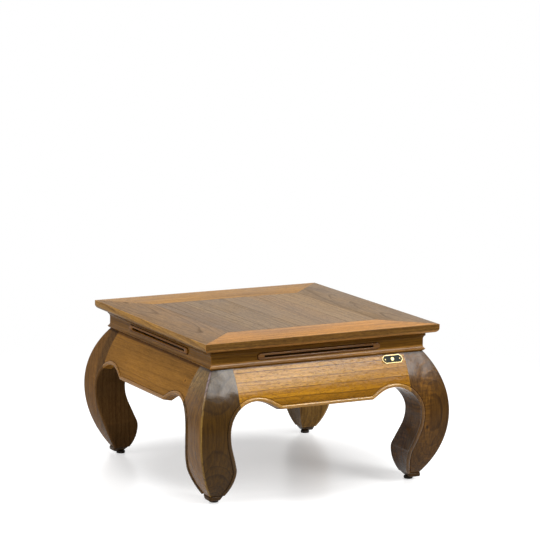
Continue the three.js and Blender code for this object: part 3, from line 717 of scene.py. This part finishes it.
def foot_pad():
    """A thin block under the leg, drawn in below on its inner sides and rounded"""
    inner = FOOT_INNER + PAD_SETBACK
    outer = ANKLE_HALF + PAD_PROUD
    to_the_bench(block((inner, -outer, PAD_FOOT), (outer, -inner, PAD_TOP)))
    for way in (Vector((1, 0, 0)), Vector((0, -1, 0))):
        pick("VERT", lambda v: near(v.co.z, PAD_FOOT) and near(v.co.dot(way), inner))
        shift(*(way * PAD_DRAW))
    pick("EDGE", is_upright)
    bevel(PAD_CORNER, 8)
    pick("EDGE", is_sharp)
    bevel(PAD_ROUND, 6)
    return settle()


def glide():
    """A nail-on glide: a low round foot, with its nail drawn to a point"""
    turned_bar(GLIDE_PLACE, GLIDE_PLACE, 0, GLIDE_RADIUS, GLIDE_HEIGHT, 48)
    to_the_bench()
    pick("EDGE", lambda e: not is_upright(e))
    bevel(GLIDE_ROUND, 4)
    pick("FACE", lambda f: looks_up(f) and len(f.verts) > 4)
    bpy.ops.mesh.inset(thickness=GLIDE_RADIUS - GLIDE_ROUND - NAIL_RADIUS)
    pull_out(0, 0, NAIL_LENGTH)
    bpy.ops.mesh.merge(type="CENTER")
    return settle()


def seat_on_apron(piece):
    """Sets a piece that was made lying flat at the origin on the apron's front face"""
    across, height = PLATE_PLACE
    rise = height - BELLY_HEIGHT
    tilt = math.atan(rise / math.sqrt(UPPER_RADIUS**2 - rise**2))
    take(piece)
    piece.rotation_euler.x = QUARTER_TURN - tilt
    piece.location = (across, -bulge(height), height)
    return settle(piece)


def plate():
    """A bare plate with cut corners, a raised rim, a sunk field and a plain boss"""
    thickness = PLATE_THICKNESS + PLATE_RIM_RAISE
    base = block((-PLATE_LENGTH / 2, -PLATE_HEIGHT / 2, PLATE_GAP),
                 (PLATE_LENGTH / 2, PLATE_HEIGHT / 2, PLATE_GAP + thickness))
    to_the_bench(base)
    pick("EDGE", is_upright)
    bevel(PLATE_CHAMFER, 1)
    pick("FACE", looks_up)
    bpy.ops.mesh.inset(thickness=PLATE_RIM)
    bpy.ops.mesh.inset(thickness=PLATE_RIM_SLOPE)
    shift(0, 0, -PLATE_RIM_RAISE)
    off_the_bench()
    boss = domed_bar(0, PLATE_GAP, BOSS_RADIUS, thickness, 40, BOSS_ROUND)
    combine(base, boss, "UNION")
    return give_second_finish(
        mark(base, BODY_MARK, BEAD_MARK), lambda f: looks_up(f)
        and near(f.calc_center_median().z, PLATE_GAP + PLATE_THICKNESS))


def domed_bar(across, foot, radius, height, sides, rounding):
    """A short round bar whose upper edge is rounded"""
    turned_bar(across, 0, foot, radius, height, sides)
    to_the_bench()
    pick("FACE", looks_up)
    bevel(rounding, 4)
    return off_the_bench()


def plate_pin(side):
    """The small domed head of a pin"""
    pin = domed_bar(side * PIN_SPACING / 2, PLATE_GAP + PLATE_THICKNESS, PIN_RADIUS,
                    PIN_HEIGHT, 24, PIN_ROUND)
    return seat_on_apron(settle(pin))


# The varnish shop

class Recipe:
    """A node tree, with short ways to add nodes and to join them"""

    def __init__(self, tree):
        self.tree = tree

    def feed(self, node, inputs):
        """Gives each named input its value, or links it to another node's output"""
        for name, value in inputs.items():
            if isinstance(value, bpy.types.NodeSocket):
                self.tree.links.new(value, node.inputs[name])
            else:
                node.inputs[name].default_value = value

    def add(self, kind, inputs=None, **settings):
        node = self.tree.nodes.new("ShaderNode" + kind)
        for name, value in settings.items():
            setattr(node, name, value)
        self.feed(node, inputs or {})
        return node

    def sum(self, operation, *values, clamp=False):
        node = self.add("Math", dict(enumerate(values)), operation=operation,
                        use_clamp=clamp)
        return node.outputs[0]

    def plus(self, first, second, clamp=False):
        return self.sum("ADD", first, second, clamp=clamp)

    def minus(self, first, second):
        return self.sum("SUBTRACT", first, second)

    def times(self, first, second, clamp=False):
        return self.sum("MULTIPLY", first, second, clamp=clamp)

    def vector(self, operation, *values):
        node = self.add("VectorMath", dict(enumerate(values)), operation=operation)
        return node.outputs["Value" if operation in ("LENGTH", "DOT_PRODUCT") else 0]

    def stretch(self, vector, amount):
        node = self.add("VectorMath", {0: vector, "Scale": amount}, operation="SCALE")
        return node.outputs[0]

    def step(self, value, low, high, start=0.0, end=1.0):
        node = self.add("MapRange", {0: value, 1: low, 2: high, 3: start, 4: end},
                        interpolation_type="SMOOTHSTEP")
        return node.outputs[0]

    def blend(self, factor, first, second, mode="MIX"):
        node = self.add("Mix", data_type="RGBA", blend_type=mode)
        self.feed(node, {0: factor, 6: first, 7: second})
        return node.outputs[2]

    def bump(self, height, distance, strength, **more):
        node = self.add("Bump", {"Height": height, "Distance": distance,
                                 "Strength": strength, **more})
        return node.outputs[0]

    def noise(self, place, waves, detail, roughness=0.5, output=0):
        node = self.add("TexNoise", {"Vector": place, "Scale": waves, "Detail": detail,
                                     "Roughness": roughness})
        return node.outputs[output]

    def grain_noise(self, place, along, across, detail=2.0, roughness=0.5, output=0):
        """Noise with so many waves to the metre along the grain and across it"""
        scaled = self.vector("MULTIPLY", place, (along, across, across))
        return self.noise(scaled, 1.0, detail, roughness, output)

    def waver(self, place, *waves):
        """Such noise on three axes, on both sides of zero"""
        noise = self.grain_noise(place, *waves, output="Color")
        return self.vector("SUBTRACT", noise, (0.5, 0.5, 0.5))

    def use(self, effect, **inputs):
        """Places a shared effect"""
        node = self.tree.nodes.new("ShaderNodeGroup")
        node.node_tree = bpy.data.node_groups[effect]
        self.feed(node, inputs)
        return node.outputs


def new_effect(name, colors, numbers, places=(), more_numbers=()):
    """A shared node tree that puts out a colour, and more numbers where named"""
    tree = bpy.data.node_groups.new(name, "ShaderNodeTree")
    for side, kind, titles in (
        ("INPUT", "Color", colors),
        ("INPUT", "Float", numbers),
        ("INPUT", "Vector", places),
        ("OUTPUT", "Color", ("Color",)),
        ("OUTPUT", "Float", more_numbers),
    ):
        for title in titles:
            tree.interface.new_socket(title, in_out=side, socket_type="NodeSocket" + kind)
    start = tree.nodes.new("NodeGroupInput")
    end = tree.nodes.new("NodeGroupOutput")
    return Recipe(tree), start.outputs, end


# The figure's noises: waves to the metre along and across the grain, detail, roughness
DRIFTS = (3.2, 12, 2, 0.45)
TREMBLES = (26, 55)
BREAKS = (11, 170)
STREAKS = (4.2, 190, 5, 0.7)
FIBRES = (30, 640, 3, 0.6)
FLECKS = (75, 330, 2, 0.6)
CLOUDS = (6, 15)
PORES = (110, 1050, 1)
RIPPLES = (190, 42, 1)
KNOT_WAVES = (120, 120)

# A year's dark line is full at one share of its ring, and fades between the next two
LINE_FULL = 0.93
LINE_FADE = (0.94, 0.99)

# What a wood's figure is like where its finish says nothing else
GRAIN = {"Ring_Width": 9 * MM, "Wander": 22 * MM, "Unevenness": 2.5, "Lines": 0.6,
         "Line_Width": 0.2, "Streaks": 0.7, "Fibre": 0.5, "Pores": 0.35, "Ripple": 0.0,
         "Mottle": 0.5}

# The colour of the painted shade in corners, creases and recesses, and how far it reaches
CORNER_SHADE_COLOR = (0.006, 0.003, 0.001, 1)
CORNER_SHADE_REACH = 6 * MM
VARNISH_TINT = (1, 0.94, 0.86, 1)
PLANING_WAVES = 22
FIGURE_RELIEF = 0.25 * MM
SPECKLE_RELIEF = 0.1 * MM
SPECKLE_EDGE = 0.4 * MM


def make_wood_figure():
    """Growth rings round a pith along X, with streaks, fibres, ripples and pores"""
    recipe, given, made = new_effect("Wood_Figure", ("Light_Wood", "Dark_Wood", "Line_Wood"),
                                     GRAIN, ("Place",), ("Height", "Dullness"))
    place = given["Place"]
    wander = given["Wander"]
    drift = recipe.stretch(recipe.waver(place, *DRIFTS), wander)
    tremble = recipe.stretch(recipe.waver(place, *TREMBLES), recipe.times(wander, 0.14))
    moved = recipe.vector("ADD", place, recipe.vector("ADD", drift, tremble))
    radius = recipe.vector("LENGTH", recipe.vector("MULTIPLY", moved, (0, 1, 1)))
    years = recipe.sum("DIVIDE", radius, given["Ring_Width"])
    slow = recipe.add("TexNoise", {"W": years, "Scale": 0.37, "Detail": 1.0},
                      noise_dimensions="1D").outputs[0]
    years = recipe.plus(years, recipe.times(slow, given["Unevenness"]))
    phase = recipe.sum("FRACT", years)
    vigour = recipe.add("TexWhiteNoise", {"W": recipe.sum("FLOOR", years)},
                        noise_dimensions="1D").outputs[0]
    rise = recipe.step(phase, recipe.minus(LINE_FULL, given["Line_Width"]), LINE_FULL)
    fall = recipe.step(phase, *LINE_FADE, 1.0, 0.0)
    broken = recipe.step(recipe.grain_noise(place, *BREAKS), 0.25, 0.5, 0.4, 1.0)
    line = recipe.times(recipe.times(rise, fall), broken)
    line = recipe.times(line, recipe.step(vigour, 0.1, 0.9, 0.15, 1.0))
    line = recipe.times(line, given["Lines"], clamp=True)

    streak = recipe.step(recipe.grain_noise(place, *STREAKS), 0.37, 0.63)
    fibre = recipe.grain_noise(place, *FIBRES)
    fleck = recipe.grain_noise(place, *FLECKS)
    cloud = recipe.grain_noise(place, *CLOUDS)
    pore = recipe.step(recipe.grain_noise(place, *PORES), 0.57, 0.69)
    pore = recipe.times(pore, given["Pores"], clamp=True)
    ripple = recipe.step(recipe.grain_noise(place, *RIPPLES), 0.4, 0.65)
    ripple = recipe.times(ripple, recipe.step(cloud, 0.48, 0.66))

    body = recipe.times(streak, given["Streaks"])
    body = recipe.plus(body, recipe.times(phase, 0.25), clamp=True)
    color = recipe.blend(body, given["Light_Wood"], given["Dark_Wood"])
    color = recipe.blend(line, color, given["Line_Wood"])
    color = recipe.blend(pore, color, given["Line_Wood"])

    texture = recipe.minus(recipe.plus(fibre, fleck), 1.0)
    level = recipe.plus(1.0, recipe.times(texture, given["Fibre"]))
    level = recipe.plus(level, recipe.times(recipe.minus(cloud, 0.5), given["Mottle"]))
    level = recipe.plus(level, recipe.times(ripple, given["Ripple"]))
    grey = recipe.add("CombineColor", {0: level, 1: level, 2: level}).outputs[0]
    relief = recipe.minus(fibre, recipe.times(line, 0.4))
    recipe.feed(made, {
        "Color": recipe.blend(1.0, color, grey, "MULTIPLY"),
        "Height": recipe.minus(relief, pore),
        "Dullness": recipe.plus(cloud, recipe.times(line, 0.5)),
    })


def make_worn_lit_edges_and_corner_shade():
    """Lighter along edges, partly as wear and partly as painted highlight, with painted
    shade in the corners
    """
    recipe, given, made = new_effect("Worn_Lit_Edges_And_Corner_Shade", ("Color", "Rubbed"),
                                     ("Rub", "Stain", "Width"))
    flat = recipe.add("NewGeometry").outputs["Normal"]
    # Painted highlight and wear: lighter where the bevelled normal leaves the face's normal
    rounded = recipe.add("Bevel", {"Radius": given["Width"]}, samples=6).outputs[0]
    edge = recipe.step(recipe.vector("DOT_PRODUCT", flat, rounded), 0.995, 0.9)
    # Painted shade: darker where ambient occlusion finds a corner, a crease or a recess
    air = recipe.add("AmbientOcclusion", {"Distance": CORNER_SHADE_REACH}, samples=8)
    air = recipe.step(air.outputs["AO"], 0.3, 0.8)
    rub = recipe.times(recipe.times(edge, air), given["Rub"], clamp=True)
    color = recipe.blend(rub, given["Color"], given["Rubbed"])
    stain = recipe.times(recipe.minus(1.0, air), given["Stain"], clamp=True)
    recipe.feed(made, {"Color": recipe.blend(stain, color, CORNER_SHADE_COLOR)})


def make_changing_tone():
    """Another tone from one place of the piece onwards"""
    recipe, given, made = new_effect("Changing_Tone", ("Color", "Tone"),
                                     ("Start", "End"), ("Place", "Way"))
    along = recipe.vector("DOT_PRODUCT", given["Place"], given["Way"])
    share = recipe.step(along, given["Start"], given["End"])
    toned = recipe.blend(1.0, given["Color"], given["Tone"], "MULTIPLY")
    recipe.feed(made, {"Color": recipe.blend(share, given["Color"], toned)})


def make_knot():
    """A small knot: a dark core with a paler ring round it"""
    recipe, given, made = new_effect("Knot", ("Color", "Core"), ("Size",),
                                     ("Place", "Centre"))
    size = given["Size"]
    off = recipe.vector("SUBTRACT", given["Place"], given["Centre"])
    rough = recipe.waver(given["Place"], *KNOT_WAVES)
    off = recipe.vector("ADD", off, recipe.stretch(rough, recipe.times(size, 1.2)))
    reach = recipe.sum("DIVIDE", recipe.vector("LENGTH", off), size)
    core = recipe.step(reach, 1.0, 0.45, 0.0, 0.85)
    halo = recipe.times(recipe.step(reach, 0.8, 1.3),
                        recipe.step(reach, 2.4, 1.4, 0.0, 0.5))
    pale = recipe.blend(1.0, given["Color"], (1.5, 1.4, 1.3, 1), "MULTIPLY")
    color = recipe.blend(halo, given["Color"], pale)
    recipe.feed(made, {"Color": recipe.blend(core, color, given["Core"])})


make_wood_figure()
make_worn_lit_edges_and_corner_shade()
make_changing_tone()
make_knot()


def scaled(color, *factors):
    factors = factors * 3 if len(factors) == 1 else factors
    return (*(part * factor for part, factor in zip(color, factors)), 1)


def new_finish(name, roughness, level=0.5):
    finish = bpy.data.materials.new(name)
    finish.use_nodes = True
    recipe = Recipe(finish.node_tree)
    shader = finish.node_tree.nodes["Principled BSDF"]
    recipe.feed(shader, {"Roughness": roughness, "Specular IOR Level": level})
    return finish, recipe, shader


def wood(name, color, pith, way, turns=0, tones=(), knots=(), spread=0.3, rub=0.5,
         edge=1.3 * MM, stain=0.75, roughness=0.26, level=0.2, planing=0.0, sheen=None,
         **grain):
    """A varnished wood whose rings lie round the pith line through a point"""
    finish, recipe, shader = new_finish(name, roughness, level)
    turn = Matrix.Rotation(turns * QUARTER_TURN, 3, "Z")
    turn_of_log = (turn @ Vector(way)).to_track_quat("X", "Z").to_euler()
    body = recipe.add("TexCoord").outputs["Object"]
    log = recipe.add("Mapping", {"Vector": body, "Location": turn @ Vector(pith),
                                 "Rotation": turn_of_log}, vector_type="TEXTURE")
    figure = recipe.use(
        "Wood_Figure", Place=log.outputs[0], Light_Wood=scaled(color, 1 + spread),
        Dark_Wood=scaled(color, 1 - spread, 1 - 1.15 * spread, 1 - 1.3 * spread),
        Line_Wood=scaled(color, 0.3, 0.26, 0.25), **{**GRAIN, **grain})
    tone = figure["Color"]
    for way_of_tone, start, end, tint in tones:
        tone = recipe.use("Changing_Tone", Color=tone, Tone=(*tint, 1), Place=body,
                          Way=turn @ Vector(way_of_tone), Start=start, End=end)["Color"]
    for centre, size in knots:
        tone = recipe.use("Knot", Color=tone, Core=scaled(color, 0.25), Place=body,
                          Centre=centre, Size=size)["Color"]
    # Edges lighter as wear and as painted highlight, and painted shade in the corners
    tone = recipe.use("Worn_Lit_Edges_And_Corner_Shade", Color=tone, Rubbed=scaled(color, 2.1, 2.0, 2.0),
                      Rub=rub, Stain=stain, Width=edge)["Color"]
    dull = recipe.step(figure["Dullness"], 0.3, 1.1, roughness - 0.05, roughness + 0.12)
    uneven = recipe.bump(recipe.noise(body, PLANING_WAVES, 1.0), planing, 1.0)
    surface = recipe.bump(figure["Height"], FIGURE_RELIEF, 0.35, Normal=uneven)
    recipe.feed(shader, {"Base Color": tone, "Roughness": dull, "Normal": surface,
                         "Specular Tint": VARNISH_TINT})
    if sheen:
        way_of_sheen, *steps = sheen
        along = recipe.vector("DOT_PRODUCT", body, turn @ Vector(way_of_sheen))
        recipe.feed(shader, {"Coat Weight": recipe.step(along, *steps),
                             "Coat Normal": surface, "Coat Roughness": roughness})
    return finish


def beaded(name, color, *log, lighter=1.5, glossy=0.5, polish=0.22, tones=(),
           lip_shadow=True, **rest):
    """The finish of a beaded piece, and that of its bead, polished by hands, whose lighter
    tone is partly wear and partly painted highlight
    """
    # The painted shadow under the lip, where the piece has one
    stain = [LIP_SHADOW_TONE] if lip_shadow else []
    body = wood(f"{name}_varnish", color, *log, tones=[*tones, *stain], **rest)
    changes = {"level": glossy, "roughness": polish, "Lines": 0.4, "knots": (),
               "sheen": None}
    return body, wood(f"{name}_bead_gloss_and_highlight", scaled(color, lighter), *log,
                      **{**rest, **changes})


def speckled(name, color, second, roughness, metallic=0.0, waves=600, level=0.5):
    """A moulded, enamelled or metal finish with a fine uneven surface"""
    finish, recipe, shader = new_finish(name, roughness, level)
    body = recipe.add("TexCoord").outputs["Object"]
    fine = recipe.noise(body, waves, 3.0)
    share = recipe.step(recipe.noise(body, waves / 9, 2.0), 0.35, 0.65)
    tone = recipe.blend(share, (*color, 1), (*second, 1))
    # Edges lighter as wear and as painted highlight, and painted shade in the corners
    tone = recipe.use("Worn_Lit_Edges_And_Corner_Shade", Color=tone, Rubbed=scaled(color, 1.4), Rub=0.5,
                      Stain=0.6, Width=SPECKLE_EDGE)["Color"]
    dull = recipe.step(fine, 0.3, 0.7, roughness - 0.08, roughness + 0.1)
    recipe.feed(shader, {"Metallic": metallic, "Base Color": tone, "Roughness": dull,
                         "Normal": recipe.bump(fine, SPECKLE_RELIEF, 0.1)})
    return finish


# Painted shadow under the waist's lip, along the tops of aprons and legs
LIP_SHADOW_TONE = ((0, 0, 1), 299 * MM, 303.5 * MM, (0.3, 0.26, 0.23))


def edge_tone(*tint):
    """The tone of a rail's outer edge, which isn't that of its top"""
    return ((0, -1, 0), HALF_TOP - 2 * MM, HALF_TOP - 0.8 * MM, tint)


SATIN = {"roughness": 0.46, "level": 0.1, "Fibre": 0.9}
OPEN_GRAIN = {"Ring_Width": 11 * MM, "Line_Width": 0.12, "Pores": 0.7, "Mottle": 0.8}
# The front and back rails are painted lighter than the side rails, a painted sheen of grain
# that runs across the light, and the left rail's edge is painted lighter, as if lit from the
# left
RAIL_WOODS = (
    wood("front_rail_varnish", (0.38, 0.175, 0.04), (0, -0.05, 0.2), (1, 0.01, 0), 0,
         [edge_tone(0.4, 0.41, 0.34), ((1, 0, 0), -0.1, 0.25, (1.1, 1.12, 1.2))],
         Lines=1.0, **OPEN_GRAIN, **SATIN),
    wood("right_rail_varnish", (0.17, 0.105, 0.048), (0, -0.246, 0.323), (-1, 0, 0.07), 1,
         [edge_tone(0.7, 0.6, 0.4)], Lines=0.5, Ring_Width=7 * MM, **SATIN),
    wood("back_rail_varnish", (0.31, 0.158, 0.038), (0, -0.05, 0.2), (1, -0.01, 0), 2,
         [edge_tone(0.6, 0.6, 0.5)], Lines=0.8, **OPEN_GRAIN, **SATIN),
    wood("left_rail_varnish", (0.17, 0.094, 0.034), (0, -0.243, 0.328), (-1, 0, 0.075), 3,
         [edge_tone(1.8, 1.65, 0.9)], Lines=0.6, Line_Width=0.15, **SATIN),
)

# The tone of each board, and how far aside of it and below the top its pith lies
BOARDS = (
    ((0.146, 0.091, 0.047), 0.16, 0.09),
    ((0.15, 0.093, 0.047), -0.2, 0.12),
    ((0.178, 0.116, 0.06), 0.24, 0.05),
    ((0.18, 0.115, 0.057), -0.15, 0.15),
    ((0.196, 0.125, 0.063), 0.2, 0.1),
    ((0.2, 0.124, 0.061), -0.12, 0.07),
    ((0.215, 0.136, 0.065), 0.18, 0.14),
    ((0.206, 0.13, 0.061), -0.22, 0.06),
)


def board_wood(number):
    low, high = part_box(f"panel_board_{number}")
    tone, aside, below = BOARDS[number - 1]
    pith = ((low[0] + high[0]) / 2 + aside, 0.07 * number, TABLE_TOP - below)
    return wood(f"board_{number}_varnish", tone, pith, (0.012 * (-1)**number, 1, 0),
                Lines=0.52, Ring_Width=14 * MM, Line_Width=0.11, Streaks=0.42, Pores=0.7,
                rub=0.15, spread=0.32, **SATIN)


# Of each waist strip: its tone, its lip's lightness (partly painted highlight) and gloss,
# and the oval's gloss
WAISTS = (
    ((0.132, 0.059, 0.008), 1.95, 0.2, 0.26),
    ((0.12, 0.055, 0.01), 1.4, 0.14, 0.18),
    ((0.12, 0.055, 0.01), 1.4, 0.14, 0.18),
    ((0.145, 0.062, 0.004), 1.2, 0.08, 0.07),
)
WAIST_WOODS = [
    beaded(f"{side}_waist", tone, (0.03 * turns, -0.19, 0.24), (1, 0.015, 0.01), turns,
           lighter=lighter, glossy=glossy, lip_shadow=False, Ring_Width=8 * MM, rub=0.9,
           stain=1.0, level=0.04, planing=0.6 * MM)
    for turns, (side, (tone, lighter, glossy, _)) in enumerate(zip(SIDES, WAISTS))]
OVAL_WOODS = [
    (wood(f"{side}_oval_varnish", scaled(tone, 1.3, 1.15, 1.0), (0, -0.19, 0.25),
          (1, 0.01, 0), turns, Lines=0.4, rub=1.2, stain=1.0, level=gloss,
          roughness=0.17),)
    for turns, (side, (tone, *_, gloss)) in enumerate(zip(SIDES, WAISTS))]
APRON_WOODS = (
    # The front apron is painted darker towards its lower edge: partly a darker band in the
    # wood, partly painted shade where the face turns from the light
    beaded("front_apron", (0.395, 0.187, 0.012), (0, -0.28, -0.1916), (1, 0, 0.004), 0,
           tones=[((0, 0, -1), -0.258, -0.254, (0.9, 0.85, 0.75)),
                  ((0, 0, -1), -0.245, -0.213, (0.42, 0.385, 0.4)),
                  ((1, 0, 0), 0.0, 0.2, (0.88, 0.84, 0.8))],
           sheen=((-0.07, 0, 1), 0.25, 0.29, 0.05, 0.25), Lines=2.4,
           Ring_Width=19.5 * MM, Line_Width=0.09, Unevenness=0.0, Wander=14 * MM,
           Streaks=0.5, Pores=0.9, Fibre=0.8, rub=0.6, lighter=0.8, glossy=0.48,
           polish=0.17, level=0.04, roughness=0.16, planing=1.4 * MM),
    beaded("right_apron", (0.3, 0.15, 0.03), (0, -0.26, -0.18), (1, 0, -0.01), 1,
           Lines=0.7, Ring_Width=15 * MM, planing=1.2 * MM),
    beaded("back_apron", (0.27, 0.13, 0.03), (0, -0.27, -0.17), (1, 0, 0.012), 2,
           Lines=0.7, Ring_Width=13 * MM, planing=1.2 * MM),
    beaded("left_apron", (0.268, 0.122, 0.021), (0, -0.25, -0.2), (1, 0, 0.008), 3,
           knots=[((-0.295, -0.19, 0.268), 4 * MM)], Lines=0.4, Ring_Width=14 * MM,
           Streaks=0.5, spread=0.22, Mottle=0.8, level=0.02, lighter=1.0, glossy=0.2,
           planing=0.8 * MM),
)
LEG_WOODS = (
    # The front right leg is painted darker towards the table's middle: painted shade on its
    # inner side
    beaded("front_right_leg", (0.08, 0.034, 0.004), (0.285, -0.362, 0.17), (0, 0, 1),
           tones=[((-1, 1, 0), -0.522, -0.497, (0.8, 0.72, 0.6))],
           knots=[((0.262, -0.318, 0.135), 5 * MM)],
           sheen=((0, 0, 1), 0.2, 0.24, 0.05, 0.21), Lines=0.5, Ring_Width=8 * MM,
           Line_Width=0.28, Ripple=0.7, Mottle=0.9, Fibre=0.3, spread=0.4, level=0.08,
           roughness=0.15, lighter=1.15, glossy=0.35, edge=4 * MM, planing=1.6 * MM),
    beaded("back_right_leg", (0.16, 0.083, 0.017), (0.2, 0.22, 0), (0.02, 0, 1),
           Ripple=0.2, level=0.1, edge=4 * MM, planing=1.2 * MM),
    beaded("back_left_leg", (0.108, 0.054, 0.018), (-0.2, 0.2, 0), (0, 0.02, 1),
           tones=[((0, 1, 0), 0.246, 0.262, (1.52, 1.42, 1.15))], Ripple=0.2, level=0.01,
           lighter=1.1, glossy=0.02, edge=4 * MM, Streaks=0.4, planing=1.2 * MM),
    # Painted light on the front left leg: a pale band on its arris is a painted highlight,
    # its left face is painted lighter as if lit from the left, and its top is painted greyer
    # as a painted sheen
    beaded("front_left_leg", (0.06, 0.027, 0.002), (-0.278, -0.213, 0), (0, 0.015, 1),
           tones=[((-1, 1, 0), -4 * MM, -2 * MM, (3.95, 5.1, 16)),
                  ((-1, 1, 0), 2 * MM, 4 * MM, (0.66, 0.48, 0.11)),
                  ((0, 0, 1), 0.235, 0.28, (1.02, 1.37, 6))],
           sheen=((0, 0, 1), 0.2, 0.24, 0.05, 0.275), Lines=0.9, Ring_Width=10 * MM,
           Line_Width=0.1, Ripple=0.35, Mottle=0.8, Fibre=0.3, spread=0.35, level=0.08,
           roughness=0.14, lighter=1.2, glossy=0.2, planing=1.8 * MM),
)
PAD_WOODS = [
    (wood(f"{corner}_pad_varnish", (0.055, 0.028, 0.009), (0.3, -0.3, -0.05), (1, 0.2, 0),
          turns, level=0.08),)
    for turns, corner in enumerate(CORNERS)]
INNER_WOOD = wood("unstained_inner_wood", (0.4, 0.24, 0.11), (0, 0, 0.2), (1, 0, 0),
                  roughness=0.6, rub=0.2)
BRASS = speckled("polished_brass", (0.55, 0.43, 0.2), (0.42, 0.31, 0.12), 0.45, 1.0)
ENAMEL = speckled("dark_enamel", (0.012, 0.016, 0.012), (0.02, 0.026, 0.02), 0.5,
                  level=0.12)
STEEL = speckled("zinc_plated_steel", (0.45, 0.45, 0.43), (0.35, 0.35, 0.34), 0.4, 1.0)
PLASTIC = speckled("black_glide_plastic", (0.026, 0.02, 0.015), (0.034, 0.028, 0.021),
                   0.5, waves=900, level=0.08)


# Putting it together

formers = [swelling_former(False), swelling_former(True)]
REPEATED_PIECES = (
    ("top_rail", top_rail(), SIDES, ("front_rail_wood", "side_rail_wood"),
     [(finish,) for finish in RAIL_WOODS]),
    ("waist", waist_strip(), SIDES, ("waist_wood",) * 2, WAIST_WOODS),
    ("oval_moulding", oval_moulding(), SIDES, ("waist_wood",) * 2, OVAL_WOODS),
    ("apron", apron(formers[False]), SIDES, ("apron_wood",) * 2, APRON_WOODS),
    ("leg", leg(formers), CORNERS, ("leg_wood",) * 2, LEG_WOODS),
    ("foot_pad", foot_pad(), CORNERS, ("leg_wood",) * 2, PAD_WOODS),
    ("glide", glide(), CORNERS, ("glide_plastic",) * 2, [(PLASTIC,)] * 4),
)
scrap(*formers)
for kind, piece, places, slots, finishes in REPEATED_PIECES:
    smooth(piece)
    for turns, place in enumerate(places):
        copy = turned_copy(piece, turns)
        hand_in(copy, f"{kind}_{place}", finishes[turns])
    scrap(piece)
for number in range(1, 9):
    board = panel_board(f"panel_board_{number}")
    hand_in(board, f"panel_board_{number}_eased", (board_wood(number),),
            [f"panel_board_{number}"])
hand_in(seat_on_apron(plate()), "plate", (BRASS, ENAMEL))
for side, name in ((-1, "plate_pin_left"), (1, "plate_pin_right")):
    hand_in(plate_pin(side), name, (BRASS,))
for name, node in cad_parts.items():
    if name.startswith(("batten", "fixing_block")):
        node.material_slots[0].material = INNER_WOOD
    elif name.startswith(("top_screw", "waist_screw")):
        node.material_slots[0].material = STEEL


# The studio

CAMERA_PLACE = (-2.71802, -5.18843, 1.46881)
CAMERA_YAW = 27.7806628696
CAMERA_PITCH = 9.682299747950717
CAMERA_ROLL = 0.706900592448513
LENS = 169.22
SENSOR_WIDTH = 36
SIGHT = 50
LAMP_TARGET = Vector((0, 0, 0.2))
ROOM_LIGHT = 0.3
WHITE = (1, 1, 1, 1)
FLOOR_SIZE = 12
FLOOR_WHITE = 0.6
FLOOR_LIFT = 0.3


def set_up_camera():
    """A camera that looks level to the back, lowered, rolled and turned to the right"""
    yaw, pitch, roll = (math.radians(a) for a in (CAMERA_YAW, CAMERA_PITCH, CAMERA_ROLL))
    turn = (Matrix.Rotation(-yaw, 3, "Z") @ Matrix.Rotation(QUARTER_TURN - pitch, 3, "X")
            @ Matrix.Rotation(roll, 3, "Z"))
    bpy.ops.object.camera_add(location=CAMERA_PLACE, rotation=turn.to_euler())
    camera = bpy.context.object
    camera.data.lens = LENS
    camera.data.sensor_width = SENSOR_WIDTH
    camera.data.clip_end = SIGHT
    bpy.context.scene.camera = camera


def soft_box(name, way, distance, width, height, brightness):
    """A rectangular lamp that faces the table, as bright as so many white papers"""
    towards = Vector(way).normalized()
    across = (Vector((1, 0, 0)) - towards.x * towards).normalized()
    turn = Matrix((across, towards.cross(across), towards)).transposed()
    bpy.ops.object.light_add(type="AREA", location=towards * distance + LAMP_TARGET,
                             rotation=turn.to_euler())
    lamp = bpy.context.object
    lamp.name = name
    lamp.data.shape = "RECTANGLE"
    lamp.data.size = width
    lamp.data.size_y = height
    lamp.data.energy = brightness * math.pi * width * height


def seen_directly(recipe):
    """One for what the camera sees, also in a reflection or through glass"""
    path = recipe.add("LightPath").outputs
    seen = recipe.sum("MAXIMUM", path["Is Camera Ray"], path["Is Glossy Ray"])
    return recipe.sum("MAXIMUM", seen, path["Is Transmission Ray"])


def white_room():
    """Soft light all round, in front of a white background"""
    world = bpy.data.worlds.new("white_room")
    bpy.context.scene.world = world
    world.use_nodes = True
    world.node_tree.nodes.clear()
    recipe = Recipe(world.node_tree)
    light, seen = (recipe.add("Background", {"Color": WHITE, "Strength": strength})
                   for strength in (ROOM_LIGHT, 1.0))
    mix = recipe.add("MixShader", {0: seen_directly(recipe), 1: light.outputs[0],
                                   2: seen.outputs[0]})
    recipe.add("OutputWorld", {"Surface": mix.outputs[0]})


def white_floor():
    """A white floor that takes the shadow and fades into the background"""
    bpy.ops.mesh.primitive_plane_add(size=FLOOR_SIZE)
    floor = bpy.context.object
    floor.name = "studio_floor"
    finish, recipe, shader = new_finish("white_floor", 0.3)
    off_centre = recipe.vector("LENGTH", recipe.add("TexCoord").outputs["Object"])
    # The floor glows less under the table than beyond it: painted shade under the table,
    # which also washes out the legs' reflections further off
    lift = recipe.step(off_centre, 0.22, 0.42, FLOOR_LIFT, 2 * FLOOR_LIFT)
    recipe.feed(shader, {"Base Color": (FLOOR_WHITE, FLOOR_WHITE, FLOOR_WHITE, 1),
                         "Emission Color": WHITE,
                         "Emission Strength": recipe.times(seen_directly(recipe), lift)})
    fade = recipe.step(off_centre, 0.6, 1.5)
    clear = recipe.add("BsdfTransparent")
    mix = recipe.add("MixShader", {0: fade, 1: shader.outputs[0], 2: clear.outputs[0]})
    recipe.feed(recipe.tree.nodes["Material Output"], {"Surface": mix.outputs[0]})
    floor.data.materials.append(finish)


set_up_camera()
soft_box("front_soft_box", (0.44, -0.61, 0.66), distance=5, width=1.4, height=2.9,
         brightness=17)
soft_box("overhead_soft_box", (-0.05, 0.1, 1), distance=3.5, width=2.4, height=2.4,
         brightness=2.8)
soft_box("left_soft_box", (-0.85, -0.1, 0.52), distance=3, width=1.6, height=1.6,
         brightness=4.6)
white_room()
white_floor()
bpy.context.scene.view_settings.view_transform = "Standard"
